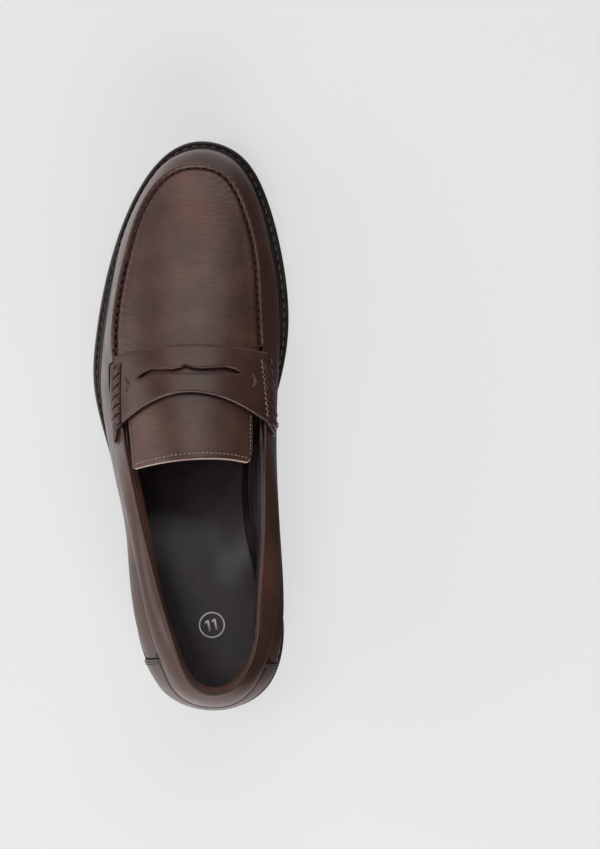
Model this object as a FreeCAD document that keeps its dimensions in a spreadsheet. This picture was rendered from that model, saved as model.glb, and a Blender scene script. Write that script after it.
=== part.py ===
import FreeCAD
import Part
import math
import os
from FreeCAD import Vector

# A left penny loafer, in millimetres. +Y points to the toe, +X to the inner (medial) side of the
# foot and +Z up. The origin is on the floor, at the middle of the shoe's own box.

doc = FreeCAD.newDocument("penny_loafer")

# --------------------------------------------------------------------------------------------
# Driving dimensions
# --------------------------------------------------------------------------------------------

SIZES = {
    "sole_length": 308,
    "sole_width": 106,
    "heel_height": 20.5,
    "top_piece_thickness": 6,
    "lift_thickness": 7.2,
    "toe_spring": 9,
    "outsole_thickness": 5,
    "welt_thickness": 3.2,
    "welt_width": 14,
    "cork_thickness": 2.8,
    "shank_thickness": 1.3,
    "shank_width": 14,
    "insole_thickness": 2.4,
    "heel_pad_thickness": 2.2,
    "sock_thickness": 1.4,
    "leather_thickness": 1.6,
    "stiffener_thickness": 1.1,
    "lining_thickness": 1,
    "overlay_thickness": 1.2,
    "strap_thickness": 2.2,
    "tongue_thickness": 2,
    "thread_thickness": 0.8,
    "nail_radius": 1,
    "nail_length": 17,
    "layer_gap": 0.1,
    "prism_height": 60,
}

sheet = doc.addObject("Spreadsheet::Sheet", "Sizes")
for row, (alias, value) in enumerate(SIZES.items(), start=1):
    sheet.set("A%d" % row, alias)
    sheet.set("B%d" % row, str(value))
    sheet.setAlias("B%d" % row, alias)
doc.recompute()


def size(alias):
    """The number in a cell of the sheet."""
    return float(sheet.get(alias))


LENGTH_SCALE = size("sole_length") / 308
WIDTH_SCALE = size("sole_width") / 106
GAP = size("layer_gap")
LEATHER = size("leather_thickness")
LINING = size("lining_thickness")
STIFFENER = size("stiffener_thickness")

# --------------------------------------------------------------------------------------------
# Outlines in plan. Each loop has 28 stations: 0 at the back of the heel, 14 at the toe, the
# outer (lateral) side between them, then the inner side back to the heel.
# --------------------------------------------------------------------------------------------

STATIONS = 28

SOLE_EDGE = [
    (12, -154), (-9.5, -148.5), (-22, -133), (-29.3, -109), (-31.5, -83), (-33.5, -57), (-39.5, -31),
    (-47.5, -4), (-53, 22), (-52, 47), (-47.8, 73), (-41, 99), (-30.5, 124.5), (-14.5, 146),
    (6.5, 154), (28.3, 145), (41, 123), (47.8, 99), (52, 73), (52.3, 47), (47.5, 21),
    (40.5, -5), (37.3, -31), (39, -57), (45.3, -83), (50.2, -108), (46, -134), (32, -149.5)]

# The widest line of the upper, a little above the welt.
WIDEST = [
    (12, -152.5), (-8, -147), (-21.3, -131), (-29.1, -108), (-32.9, -82), (-35.2, -56), (-40.3, -31),
    (-45.5, -6), (-48.8, 20), (-47.4, 46), (-43.7, 71), (-38.5, 96.5), (-29.9, 119.3), (-15, 141),
    (5.5, 149.2), (25, 141.5), (36.8, 120.5), (43, 97), (47, 73), (48, 47), (47, 21),
    (46.3, -6), (46.9, -32), (48.3, -58), (49.9, -84), (49.6, -110), (43.8, -133.5), (30, -148)]

# The upper edge of the side walls: the apron seam in front, the topline behind, with its height.
TOP_EDGE = [
    (12.8, -145.2, 88), (-0.8, -138.2, 86), (-8.4, -121.5, 79), (-14.1, -103.2, 71.5), (-20.1, -81.2, 67),
    (-26.1, -57.2, 65), (-31.5, -33.2, 65), (-36, -9.2, 64), (-39.8, 16, 57), (-42.4, 43, 49),
    (-40.6, 68, 44), (-35.2, 93.5, 42), (-27, 118.2, 41), (-12.6, 136.5, 41), (5, 141, 41),
    (20.8, 134.5, 41), (30.6, 116.5, 42), (36.2, 95, 43), (38.2, 72, 45), (39.4, 45, 49),
    (40.6, 18, 56), (41, -8, 63), (40.8, -33, 66), (40.6, -57, 66), (39.2, -81, 68),
    (37.6, -104.4, 72), (35, -123, 79), (26.4, -138.8, 86)]


class Loop:
    """A smooth closed curve through evenly spaced stations (a uniform periodic cubic B-spline)."""

    def __init__(self, stations):
        scales = (WIDTH_SCALE, LENGTH_SCALE, 1.0)
        self.goal = [[value * scales[axis] for axis, value in enumerate(row)] for row in stations]
        self.poles = [list(row) for row in self.goal]
        for sweep in range(50):
            self.poles = [self.relaxed(i) for i in range(len(self.goal))]

    def relaxed(self, i):
        count = len(self.goal)
        before, after = self.poles[i - 1], self.poles[(i + 1) % count]
        return [(6 * goal - a - b) / 4 for goal, a, b in zip(self.goal[i], before, after)]

    def at(self, station):
        """The point at a station number, which may lie between two stations."""
        count = len(self.goal)
        first = math.floor(station)
        f = station - first
        weights = ((1 - f) ** 3, 3 * f ** 3 - 6 * f ** 2 + 4, -3 * f ** 3 + 3 * f ** 2 + 3 * f + 1, f ** 3)
        rows = [self.poles[(first - 1 + k) % count] for k in range(4)]
        return [sum(w * row[axis] for w, row in zip(weights, rows)) / 6 for axis in range(len(rows[0]))]

    def inward(self, station):
        """The unit normal in plan that points into the shoe."""
        a, b = self.at(station - 0.05), self.at(station + 0.05)
        dx, dy = b[0] - a[0], b[1] - a[1]
        reach = math.hypot(dx, dy)
        return dy / reach, -dx / reach


sole_edge = Loop(SOLE_EDGE)
widest = Loop(WIDEST)
top_edge = Loop(TOP_EDGE)

# --------------------------------------------------------------------------------------------
# Heights
# --------------------------------------------------------------------------------------------

HEEL_FRONT_Y = -80 * LENGTH_SCALE
WAIST_END_Y = 18 * LENGTH_SCALE
SPRING_START_Y = 72 * LENGTH_SCALE
TOE_Y = 154 * LENGTH_SCALE
APRON_TIP_Y = 141 * LENGTH_SCALE


def smooth(value):
    """A soft step from 0 to 1."""
    value = min(max(value, 0.0), 1.0)
    return value * value * (3 - 2 * value)


def floor_line(y):
    """Height of the outsole's underside: on the heel, down through the waist, flat, toe spring."""
    waist = size("heel_height") * (1 - smooth((y - HEEL_FRONT_Y) / (WAIST_END_Y - HEEL_FRONT_Y)))
    spring = max(0.0, (y - SPRING_START_Y) / (TOE_Y - SPRING_START_Y))
    return waist + size("toe_spring") * spring ** 2


WELT_TOP = size("outsole_thickness") + size("welt_thickness")


def instep(x, y):
    """Outer surface of the apron, the strap's bed and the tongue, as a height."""
    back = APRON_TIP_Y - y
    ridge = 43.5 + 0.1 * back + 0.00132 * back ** 2
    ridge_x = -1.3 + 0.0009 * (y - 50) ** 2
    bend = 0.0072 + 2.9e-9 * max(back, 0) ** 3
    tip_roll = 2.5 * max(0.0, 1 - back / 25) ** 2
    return ridge - bend * (x - ridge_x) ** 2 - tip_roll


def front_share(station):
    """1 where the wall's upper edge lies on the instep surface, 0 along the open topline."""
    from_toe = abs((station % STATIONS) - STATIONS / 2)
    return 1 - smooth((from_toe - 6) / 1.5)


WIDEST_SHARE = 0.3


def feather_inset(station):
    """How far the upper's foot stands inside the sole's edge."""
    return 5.2 - 1.7 * math.cos(2 * math.pi * station / STATIONS)


def wall_foot(station):
    x, y = sole_edge.at(station)
    in_x, in_y = sole_edge.inward(station)
    inset = feather_inset(station)
    x, y = x + in_x * inset, y + in_y * inset
    return Vector(x, y, floor_line(y) + WELT_TOP + GAP)


def wall_widest(station):
    x, y = widest.at(station)
    return Vector(x, y, floor_line(y) + WELT_TOP + 13.5 + 4.5 * math.cos(2 * math.pi * station / STATIONS))


def wall_top(station):
    x, y, z = top_edge.at(station)
    share = front_share(station)
    return Vector(x, y, share * instep(x, y) + (1 - share) * z)


def wall_lean(station):
    """Exponent of the curve that takes the wall in from its widest line to its top."""
    return 1.6 - 0.25 * math.cos(2 * math.pi * station / STATIONS)


def wall(station, rise):
    """Outer face of the side walls. rise is 0 at the welt, WIDEST_SHARE at the widest, 1 on top."""
    wide = wall_widest(station)
    if rise < WIDEST_SHARE:
        foot = wall_foot(station)
        part = rise / WIDEST_SHARE
        out = 1 - (1 - part) ** 2
        return Vector(foot.x + (wide.x - foot.x) * out, foot.y + (wide.y - foot.y) * out,
                      foot.z + (wide.z - foot.z) * part)
    top = wall_top(station)
    part = (rise - WIDEST_SHARE) / (1 - WIDEST_SHARE)
    lean = part ** wall_lean(station)
    return Vector(wide.x + (top.x - wide.x) * lean, wide.y + (top.y - wide.y) * lean,
                  wide.z + (top.z - wide.z) * part)


def wall_height(x, y):
    """Height of the wall's outer face over a place beside the instep, carried on up inside its top."""
    side = 1 if x < 0 else -1
    near, far = (5.0, 11.0) if x < 0 else (STATIONS - 5.0, STATIONS - 11.0)
    for halving in range(24):
        station = (near + far) / 2
        wide, top = wall_widest(station), wall_top(station)
        ahead = (top.x - wide.x) * (y - wide.y) - (top.y - wide.y) * (x - wide.x)
        if ahead * side > 0:
            near = station
        else:
            far = station
    reach = (top.x - wide.x) ** 2 + (top.y - wide.y) ** 2
    lean = ((x - wide.x) * (top.x - wide.x) + (y - wide.y) * (top.y - wide.y)) / reach
    return wide.z + (top.z - wide.z) * max(lean, 0.0) ** (1 / wall_lean(station))


BED_ROUND = 1.0


def strap_bed(x, y):
    """What the strap lies on: the instep, then the wall beyond its top edge, with a soft shoulder."""
    over_instep, over_wall = instep(x, y), wall_height(x, y)
    shoulder = math.log(2) - math.log(1 + math.exp(-abs(over_instep - over_wall) / BED_ROUND))
    return min(over_instep, over_wall) + BED_ROUND * shoulder


def bed_point(x, y):
    return Vector(x, y, strap_bed(x, y))


def instep_point(x, y):
    return Vector(x, y, instep(x, y))


# --------------------------------------------------------------------------------------------
# Solids of leather: a patch of a surface between two offsets
# --------------------------------------------------------------------------------------------


def offset_grid(surface, first, second, offset, counts):
    """Points of a surface patch, moved along the surface's normal by offset."""
    grid = []
    for i in range(counts[0]):
        a = first[0] + (first[1] - first[0]) * i / (counts[0] - 1)
        line = []
        for j in range(counts[1]):
            b = second[0] + (second[1] - second[0]) * j / (counts[1] - 1)
            step_a = (first[1] - first[0]) * 1e-3
            step_b = (second[1] - second[0]) * 1e-3
            along = surface(a + step_a, b) - surface(a - step_a, b)
            across = surface(a, b + step_b) - surface(a, b - step_b)
            normal = along.cross(across).normalize()
            line.append(surface(a, b) + normal * offset)
        grid.append(line)
    return grid


def even_curve(points):
    """A cubic through points, with evenly spaced parameters from 0 to 1."""
    curve = Part.BSplineCurve()
    curve.interpolate(points, Parameters=[i / (len(points) - 1) for i in range(len(points))])
    return curve


def skin_through(grid):
    """A B-spline surface through a grid of points, evenly parametrised both ways."""
    lines = [even_curve(line) for line in grid]
    columns = [even_curve(column) for column in zip(*[line.getPoles() for line in lines])]
    poles = [list(row) for row in zip(*[column.getPoles() for column in columns])]
    skin = Part.BSplineSurface()
    skin.buildFromPolesMultsKnots(poles, columns[0].getMultiplicities(), lines[0].getMultiplicities(),
                                  columns[0].getKnots(), lines[0].getKnots(), False, False,
                                  columns[0].Degree, lines[0].Degree)
    return skin


def patch_solid(surface, first, second, offsets, counts):
    """The closed solid between two offsets of a surface patch. first x second points outwards."""
    skins = [skin_through(offset_grid(surface, first, second, offset, counts)) for offset in offsets]
    faces = [skin.toShape() for skin in skins]
    for end in (0.0, 1.0):
        faces.append(Part.makeRuledSurface(*[skin.uIso(end).toShape() for skin in skins]))
        faces.append(Part.makeRuledSurface(*[skin.vIso(end).toShape() for skin in skins]))
    shell = Part.Shell(faces)
    shell.sewShape()
    solid = Part.Solid(shell)
    if solid.Volume < 0:
        solid.reverse()
    return solid


nodes = []


def leather(label, shape):
    """A sub-part whose shape is worked out here because no feature makes a lasted surface."""
    feature = doc.addObject("Part::Feature", label)
    feature.Shape = shape
    feature.Label = label
    nodes.append(feature)
    return feature


# --------------------------------------------------------------------------------------------
# Layers of the bottom: an outline in plan, kept between two heights that follow the floor line
# --------------------------------------------------------------------------------------------

PLAN_POINTS = 56
PROFILE_POINTS = 81


def plan_curve(inset):
    """The sole's edge moved inwards. inset is a length, or a function of the station."""
    points = []
    for i in range(PLAN_POINTS):
        station = i * STATIONS / PLAN_POINTS
        x, y = sole_edge.at(station)
        in_x, in_y = sole_edge.inward(station)
        depth = inset(station) if callable(inset) else inset
        points.append(Vector(x + in_x * depth, y + in_y * depth, 0))
    curve = Part.BSplineCurve()
    curve.interpolate(points, PeriodicFlag=True)
    return curve


def sketch_of(name, curves, placement=FreeCAD.Placement()):
    sketch = doc.addObject("Sketcher::SketchObject", name)
    for curve in curves:
        sketch.addGeometry(curve, False)
    sketch.Placement = placement
    return sketch


def prism(name, sketch, direction, length_expression):
    extrusion = doc.addObject("Part::Extrusion", name)
    extrusion.Base = sketch
    extrusion.DirMode = "Custom"
    extrusion.Dir = direction
    extrusion.FaceMakerClass = "Part::FaceMakerBullseye"
    extrusion.Solid = True
    extrusion.setExpression("LengthFwd", length_expression)
    return extrusion


SIDE_PLANE = FreeCAD.Placement(Vector(-75, 0, 0), FreeCAD.Rotation(Vector(1, 1, 1), 120))


def band_sketch(name, low, high, back, front):
    """Side view of a layer: between floor_line + low and floor_line + high, from back to front."""
    lines = []
    for lift in (low, high):
        points = []
        for i in range(PROFILE_POINTS):
            y = back + (front - back) * i / (PROFILE_POINTS - 1)
            points.append(Vector(y, floor_line(y) + lift, 0))
        curve = Part.BSplineCurve()
        curve.interpolate(points)
        lines.append(curve)
    ends = []
    for y in (back, front):
        ends.append(Part.LineSegment(Vector(y, floor_line(y) + low, 0), Vector(y, floor_line(y) + high, 0)))
    return sketch_of(name, lines + ends, SIDE_PLANE)


BEYOND_END = 160.0        # past either end of the shoe


def layer(label, curves, low, high, back=-BEYOND_END, front=BEYOND_END):
    """A sub-part cut from a plan outline and a side band."""
    outline = sketch_of(label + "_outline", curves)
    plan = prism(label + "_plan", outline, Vector(0, 0, 1), "Sizes.prism_height")
    side = band_sketch(label + "_band", low, high, back, front)
    band = prism(label + "_side", side, Vector(1, 0, 0), "Sizes.sole_width * 1.5")
    common = doc.addObject("Part::Common", label)
    common.Base = plan
    common.Tool = band
    common.Label = label
    nodes.append(common)
    return common


def inner_edge(extra):
    """Inset that clears the wall's leather and lining by extra."""
    def inset(station):
        return feather_inset(station) + LEATHER + STIFFENER + LINING + extra
    return inset


OUTSOLE_TOP = size("outsole_thickness")
INSOLE_TOP = WELT_TOP + GAP + size("insole_thickness")
SOCK_LOW = INSOLE_TOP + size("heel_pad_thickness") + 2 * GAP
SHANK_BACK, SHANK_FRONT = -112.0, 12.0
CORK_BACK = 14.0
RING_INSET = size("welt_width")
WELT_SETBACK = 0.4        # the welt's edge behind the outsole's
STITCH_LINE = (2.4, 3.2)  # the welt thread's two edges, in from the outsole's
INSOLE_CLEARANCE = 1.0
SOCK_CLEARANCE = 1.2
PAD_CLEARANCE = 4.0

layer("outsole", [plan_curve(0.0)], 0.0, OUTSOLE_TOP)
layer("welt", [plan_curve(WELT_SETBACK), plan_curve(RING_INSET)], OUTSOLE_TOP, WELT_TOP)
layer("cork_filler", [plan_curve(RING_INSET + GAP)], OUTSOLE_TOP + GAP,
      OUTSOLE_TOP + GAP + size("cork_thickness"), CORK_BACK, BEYOND_END)
layer("shank_cover", [plan_curve(RING_INSET + GAP)], OUTSOLE_TOP + size("shank_thickness") + 2 * GAP,
      WELT_TOP, -BEYOND_END, CORK_BACK - GAP)
layer("insole_board", [plan_curve(inner_edge(INSOLE_CLEARANCE))], WELT_TOP + GAP, INSOLE_TOP)
layer("heel_pad", [plan_curve(inner_edge(PAD_CLEARANCE))], INSOLE_TOP + GAP,
      INSOLE_TOP + GAP + size("heel_pad_thickness"), -BEYOND_END, HEEL_FRONT_Y)
layer("sock_liner", [plan_curve(inner_edge(SOCK_CLEARANCE))], SOCK_LOW,
      SOCK_LOW + size("sock_thickness"))
layer("welt_thread", [plan_curve(inset) for inset in STITCH_LINE], WELT_TOP,
      WELT_TOP + size("thread_thickness"))


def shank():
    """The spring-steel strip that bridges the waist, under its cover."""
    back_x, front_x = 6.0, -3.0
    half = size("shank_width") / 2
    tip_back = Part.Arc(Vector(back_x - half, SHANK_BACK + half, 0), Vector(back_x, SHANK_BACK, 0),
                        Vector(back_x + half, SHANK_BACK + half, 0))
    tip_front = Part.Arc(Vector(front_x + half, SHANK_FRONT - half, 0), Vector(front_x, SHANK_FRONT, 0),
                         Vector(front_x - half, SHANK_FRONT - half, 0))
    sides = [Part.LineSegment(tip_back.EndPoint, tip_front.StartPoint),
             Part.LineSegment(tip_front.EndPoint, tip_back.StartPoint)]
    layer("steel_shank", [tip_back, sides[0], tip_front, sides[1]], OUTSOLE_TOP + GAP,
          OUTSOLE_TOP + GAP + size("shank_thickness"))


shank()

# --------------------------------------------------------------------------------------------
# Heel: two lifts and a top piece, nailed through to the outsole
# --------------------------------------------------------------------------------------------

HEEL_END_STATION = 3.9
BREAST_HOLLOW = 4.0
NAIL_CLEARANCE = 0.02
TOP_PIECE_INSET, LOWER_LIFT_INSET, UPPER_LIFT_INSET = 1.6, 1.2, 0.8
NAIL_PLACES = [(12, -138), (-10, -122), (32, -122), (-14, -96), (34, -96)]


def heel_outline(inset):
    """The back of the sole's edge, closed by a gently hollow breast."""
    stations = [HEEL_END_STATION * (1 - i / 12) for i in range(25)]
    points = []
    for station in stations:
        x, y = sole_edge.at(station)
        in_x, in_y = sole_edge.inward(station)
        points.append(Vector(x + in_x * inset, y + in_y * inset, 0))
    back = Part.BSplineCurve()
    back.interpolate(points)
    middle = (points[0] + points[-1]) * 0.5 + Vector(0, -BREAST_HOLLOW, 0)
    breast = Part.Arc(points[-1], middle, points[0])
    return [back, breast]


def origin_plane(body, role):
    for feature in body.Origin.OriginFeatures:
        if feature.Role == role:
            return feature
    raise RuntimeError("no plane " + role)


def heel_layer(label, base_expression, thickness_expression, inset):
    """One heel lift: a padded outline with nail holes."""
    body = doc.addObject("PartDesign::Body", label)
    body.Label = label
    outline = body.newObject("Sketcher::SketchObject", label + "_outline")
    outline.AttachmentSupport = [(origin_plane(body, "XY_Plane"), "")]
    outline.MapMode = "FlatFace"
    for curve in heel_outline(inset):
        outline.addGeometry(curve, False)
    pad = body.newObject("PartDesign::Pad", label + "_pad")
    pad.Profile = outline
    pad.setExpression("Length", thickness_expression)
    body.setExpression(".Placement.Base.z", base_expression)
    doc.recompute()
    solid_volume = body.Shape.Volume
    holes = body.newObject("Sketcher::SketchObject", label + "_holes")
    holes.AttachmentSupport = [(origin_plane(body, "XY_Plane"), "")]
    holes.MapMode = "FlatFace"
    hole_radius = size("nail_radius") + NAIL_CLEARANCE
    for x, y in NAIL_PLACES:
        holes.addGeometry(Part.Circle(Vector(x, y, 0), Vector(0, 0, 1), hole_radius), False)
    pocket = body.newObject("PartDesign::Pocket", label + "_nail_holes")
    pocket.Profile = holes
    pocket.Type = "ThroughAll"
    pocket.Reversed = True
    doc.recompute()
    if body.Shape.Volume >= solid_volume:
        raise RuntimeError(label + ": the nail holes cut nothing")
    nodes.append(body)
    return body


heel_layer("heel_top_piece", "0", "Sizes.top_piece_thickness", TOP_PIECE_INSET)
heel_layer("heel_lower_lift", "Sizes.top_piece_thickness", "Sizes.lift_thickness", LOWER_LIFT_INSET)
heel_layer("heel_upper_lift", "Sizes.top_piece_thickness + Sizes.lift_thickness", "Sizes.lift_thickness",
           UPPER_LIFT_INSET)


def heel_nails():
    """Five nails, from inside the top piece up to the outsole."""
    nails = []
    for i, (x, y) in enumerate(NAIL_PLACES):
        nail = doc.addObject("Part::Cylinder", "nail_%d" % (i + 1))
        nail.setExpression("Radius", "Sizes.nail_radius")
        nail.setExpression("Height", "Sizes.nail_length")
        nail.Placement.Base = Vector(x, y, 0)
        nail.setExpression(".Placement.Base.z", "Sizes.heel_height - Sizes.layer_gap - Sizes.nail_length")
        nails.append(nail)
    group = doc.addObject("Part::Compound", "heel_nails")
    group.Links = nails
    group.Label = "heel_nails"
    nodes.append(group)


heel_nails()

# --------------------------------------------------------------------------------------------
# Upper: walls, linings and stiffeners
# --------------------------------------------------------------------------------------------

SIDE_SEAM = 7.7           # station of the seam between vamp wall and quarter, under the strap's end
TOE_PUFF_END = 10.8
COUNTER_END = 3.4
OVERLAY_END = 2.25
COLLAR_START = 6.75
COLLAR_LOW = 0.64
OVERLAY_LOW = 0.05
LINING_TOP = 0.985
PUFF_TOP = 0.97
COUNTER_TOP = 0.68
BINDING_RISES = (1.006, 1.04)
SEAM_GAP = 0.02           # in stations, between two wall pieces
WALL_ROWS = 13

outer_layer = (-LEATHER, 0.0)
stiffener_layer = (-LEATHER - GAP - STIFFENER, -LEATHER - GAP)
lining_layer = (-LEATHER - 2 * GAP - STIFFENER - LINING, -LEATHER - 2 * GAP - STIFFENER)
overlay_layer = (GAP, GAP + size("overlay_thickness"))


def wall_piece(label, start, end, low, high, offsets, columns):
    """A leather piece of the side wall between two stations and two rises."""
    return leather(label, patch_solid(wall, (end, start), (low, high), offsets, (columns, WALL_ROWS)))


FRONT_SPAN = (SIDE_SEAM + SEAM_GAP, STATIONS - SIDE_SEAM - SEAM_GAP)
LATERAL_SPAN = (SEAM_GAP / 2, SIDE_SEAM - SEAM_GAP)
MEDIAL_SPAN = (STATIONS - SIDE_SEAM + SEAM_GAP, STATIONS - SEAM_GAP / 2)
COLLAR_SPAN = (-COLLAR_START, COLLAR_START)
OVERLAY_SPAN = (-OVERLAY_END, OVERLAY_END)

wall_piece("vamp_wall", *FRONT_SPAN, 0.0, 1.0, outer_layer, 61)
wall_piece("lateral_quarter", *LATERAL_SPAN, 0.0, 1.0, outer_layer, 41)
wall_piece("medial_quarter", *MEDIAL_SPAN, 0.0, 1.0, outer_layer, 41)
wall_piece("toe_puff", TOE_PUFF_END, STATIONS - TOE_PUFF_END, 0.0, PUFF_TOP, stiffener_layer, 37)
wall_piece("counter_stiffener", -COUNTER_END, COUNTER_END, 0.0, COUNTER_TOP, stiffener_layer, 37)
wall_piece("vamp_lining", *FRONT_SPAN, 0.0, LINING_TOP, lining_layer, 61)
wall_piece("lateral_quarter_lining", *LATERAL_SPAN, 0.0, LINING_TOP, lining_layer, 41)
wall_piece("medial_quarter_lining", *MEDIAL_SPAN, 0.0, LINING_TOP, lining_layer, 41)
wall_piece("heel_overlay", *OVERLAY_SPAN, OVERLAY_LOW, COLLAR_LOW - 0.01, overlay_layer, 25)
wall_piece("collar_band", *COLLAR_SPAN, COLLAR_LOW, 1.0, overlay_layer, 57)
wall_piece("collar_padding", *COLLAR_SPAN, COLLAR_LOW, LINING_TOP, stiffener_layer, 57)
wall_piece("topline_binding", *COLLAR_SPAN, *BINDING_RISES, (lining_layer[0], overlay_layer[1]), 57)


def overlay_threads():
    """Two rows of stitching down each front edge of the heel overlay."""
    half_width = 0.012        # in stations
    low = overlay_layer[1] + GAP
    offsets = (low, low + size("thread_thickness") / 2)
    rises = (OVERLAY_LOW + 0.06, COLLAR_LOW - 0.03)
    rows = []
    for side in (-1, 1):
        for row in (0.08, 0.16):
            middle = side * (OVERLAY_END - row)
            span = (middle + half_width, middle - half_width)
            rows.append(patch_solid(wall, span, rises, offsets, (4, WALL_ROWS)))
    leather("overlay_thread", Part.makeCompound(rows))


overlay_threads()

# --------------------------------------------------------------------------------------------
# Upper: apron, strap and tongue, all on the instep surface
# --------------------------------------------------------------------------------------------

# The strap's front and rear edges as curves in plan, and its two ends.
STRAP_LATERAL_X = -41.6 * WIDTH_SCALE
STRAP_MEDIAL_X = 42.3 * WIDTH_SCALE
STRAP_OFFSET = 0.3


def strap_front(x):
    return 42.8 - 0.0029 * (x - 4) ** 2


def strap_rear(x):
    """The arch over the tongue, drawn back into a tip at each end."""
    if x < 0:
        return 17 - 0.0131 * x ** 2 - 1.6 * max(0.0, -x - 38.5)
    return 17 - 0.0103 * x ** 2 - 1.5 * max(0.0, x - 39)


def strap_surface(along, x):
    """along runs from 0 at the strap's rear edge to 1 at its front edge. The ends bow and slant."""
    y = strap_rear(x) + (strap_front(x) - strap_rear(x)) * along
    bow = 2.4 * ((y - 14) / 24) ** 2 * max(0.0, (-x - 30) / 11.6) ** 2
    slant = 0.088 * (16 - y) * max(0.0, (x - 20) / 22.3) ** 2
    return bed_point(x + bow + slant, y)


TONGUE_CLEARANCE = 0.7
TONGUE_LATERAL_X = -31.0 * WIDTH_SCALE
TONGUE_MEDIAL_X = 34.0 * WIDTH_SCALE


def tongue_rear(x):
    """The tongue's free edge: lowest at its outer corner, and rounded at its inner one."""
    outer_corner = 0.0038 * min(x - 10, 0) ** 2
    inner_drop = 0.0065 * max(x - 12, 0) ** 2
    inner_round = 0.55 * max(x - 30.5, 0) ** 2
    return -17.3 - outer_corner - inner_drop + inner_round


def tongue_surface(along, x):
    """along runs from 0 at the free edge to 1 at the strap."""
    front = strap_rear(x) - TONGUE_CLEARANCE
    y = tongue_rear(x) + (front - tongue_rear(x)) * along
    return instep_point(x, y)


def prism_of(wire_points, closing, low, high):
    curve = Part.BSplineCurve()
    curve.interpolate(wire_points)
    edges = [curve.toShape()] + [Part.makeLine(a, b) for a, b in closing]
    face = Part.Face(Part.Wire(Part.sortEdges(edges)[0]))
    face.translate(Vector(0, 0, low))
    return face.extrude(Vector(0, 0, high - low))


SEAM_START = 8.3          # station where the apron's seam comes out from under the strap


def apron_plan(inset, rear_y):
    """A prism over the area inside the apron seam, in front of rear_y."""
    points = []
    for i in range(41):
        station = SEAM_START + (STATIONS - 2 * SEAM_START) * i / 40
        x, y, z = top_edge.at(station)
        in_x, in_y = top_edge.inward(station)
        points.append(Vector(x + in_x * inset, y + in_y * inset, 0))
    left, right = Vector(points[0].x, rear_y, 0), Vector(points[-1].x, rear_y, 0)
    return prism_of(points, [(points[0], left), (left, right), (right, points[-1])], 20, 100)


def ground_surface(y, x):
    return instep_point(x, y)


APRON_REAR_Y = 24.0
APRON_INSET = 2.4
APRON_LINING_INSET = 6.0


def apron_piece(label, inset, rear_y, offsets):
    sheet_solid = patch_solid(ground_surface, (146.0, rear_y - 4), (-50.0, 50.0), offsets, (41, 31))
    shape = sheet_solid.common(apron_plan(inset, rear_y))
    return leather(label, shape.Solids[0])


apron_piece("apron", APRON_INSET, APRON_REAR_Y, (-LEATHER, 0.0))
apron_piece("apron_lining", APRON_LINING_INSET, APRON_REAR_Y, (-LEATHER - GAP - LINING, -LEATHER - GAP))


THREAD_GAP = 0.03         # between a thread and the leather it lies on


def seam_surface(station, depth):
    """A strip of the instep surface that follows the apron seam, depth inside it."""
    x, y, z = top_edge.at(station)
    in_x, in_y = top_edge.inward(station)
    return instep_point(x + in_x * depth, y + in_y * depth)


def apron_thread():
    """The hand-sewn seam, as one strip just inside the apron's edge."""
    start = SEAM_START + 1.05
    offsets = (THREAD_GAP, THREAD_GAP + size("thread_thickness"))
    shape = patch_solid(seam_surface, (STATIONS - start, start), (3.0, 3.6), offsets, (71, 3))
    leather("apron_thread", shape)


apron_thread()


# The slot: straight along the bottom, with a small peak in its upper edge.
SLOT_UPPER_EDGE = [(-27, 27), (-20, 29.2), (-9, 29.4), (-2, 31.6), (5, 29.6), (18, 29.9), (27, 27)]


def strap():
    """The saddle strap, with its cut-out slot."""
    offsets = (STRAP_OFFSET, STRAP_OFFSET + size("strap_thickness"))
    solid = patch_solid(strap_surface, (1.0, 0.0), (STRAP_LATERAL_X, STRAP_MEDIAL_X), offsets, (13, 61))
    points = [Vector(x, y, 0) for x, y in SLOT_UPPER_EDGE]
    slot = prism_of(points, [(points[0], points[-1])], 20, 110)
    leather("saddle_strap", solid.cut(slot).Solids[0])


strap()


def strap_backing():
    """A thin leather behind the slot, between the tongue and the apron's rear edge."""
    def surface(along, x):
        start = strap_rear(x) + 0.3
        return instep_point(x, start + (APRON_REAR_Y - 0.6 - start) * along)
    shape = patch_solid(surface, (1.0, 0.0), (-33.0, 35.0), (-LEATHER, 0.0), (7, 25))
    leather("strap_backing", shape)


def tongue():
    """The tongue, its lining and its three rows of stitches."""
    thick = size("tongue_thickness")
    span = (TONGUE_LATERAL_X, TONGUE_MEDIAL_X)
    leather("tongue", patch_solid(tongue_surface, (1.0, 0.0), span, (-thick, 0.0), (11, 31)))
    lining = (-thick - GAP - LINING, -thick - GAP)
    inner = (span[0] + 1, span[1] - 1)
    leather("tongue_lining", patch_solid(tongue_surface, (0.97, 0.03), inner, lining, (11, 31)))
    thread = size("thread_thickness") / 2
    offsets = (THREAD_GAP, THREAD_GAP + thread)
    rows = [patch_solid(tongue_surface, (0.08, 0.06), (span[0] + 5, span[1] - 5), offsets, (3, 21))]
    for x in (span[0] + 2, span[1] - 2.6):
        rows.append(patch_solid(tongue_surface, (0.85, 0.15), (x, x + 0.6), offsets, (9, 3)))
    leather("tongue_thread", Part.makeCompound(rows))


tongue()
strap_backing()


CORD_START = GAP + STRAP_OFFSET + size("strap_thickness")
WRAPS = 6
WRAP_PITCH = 5.9
WRAP_SPAN = 3.4
WRAP_LENGTH = 3.2
WRAP_THICKNESS = 1.4
FIRST_WRAP_Y = -1.5


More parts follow.
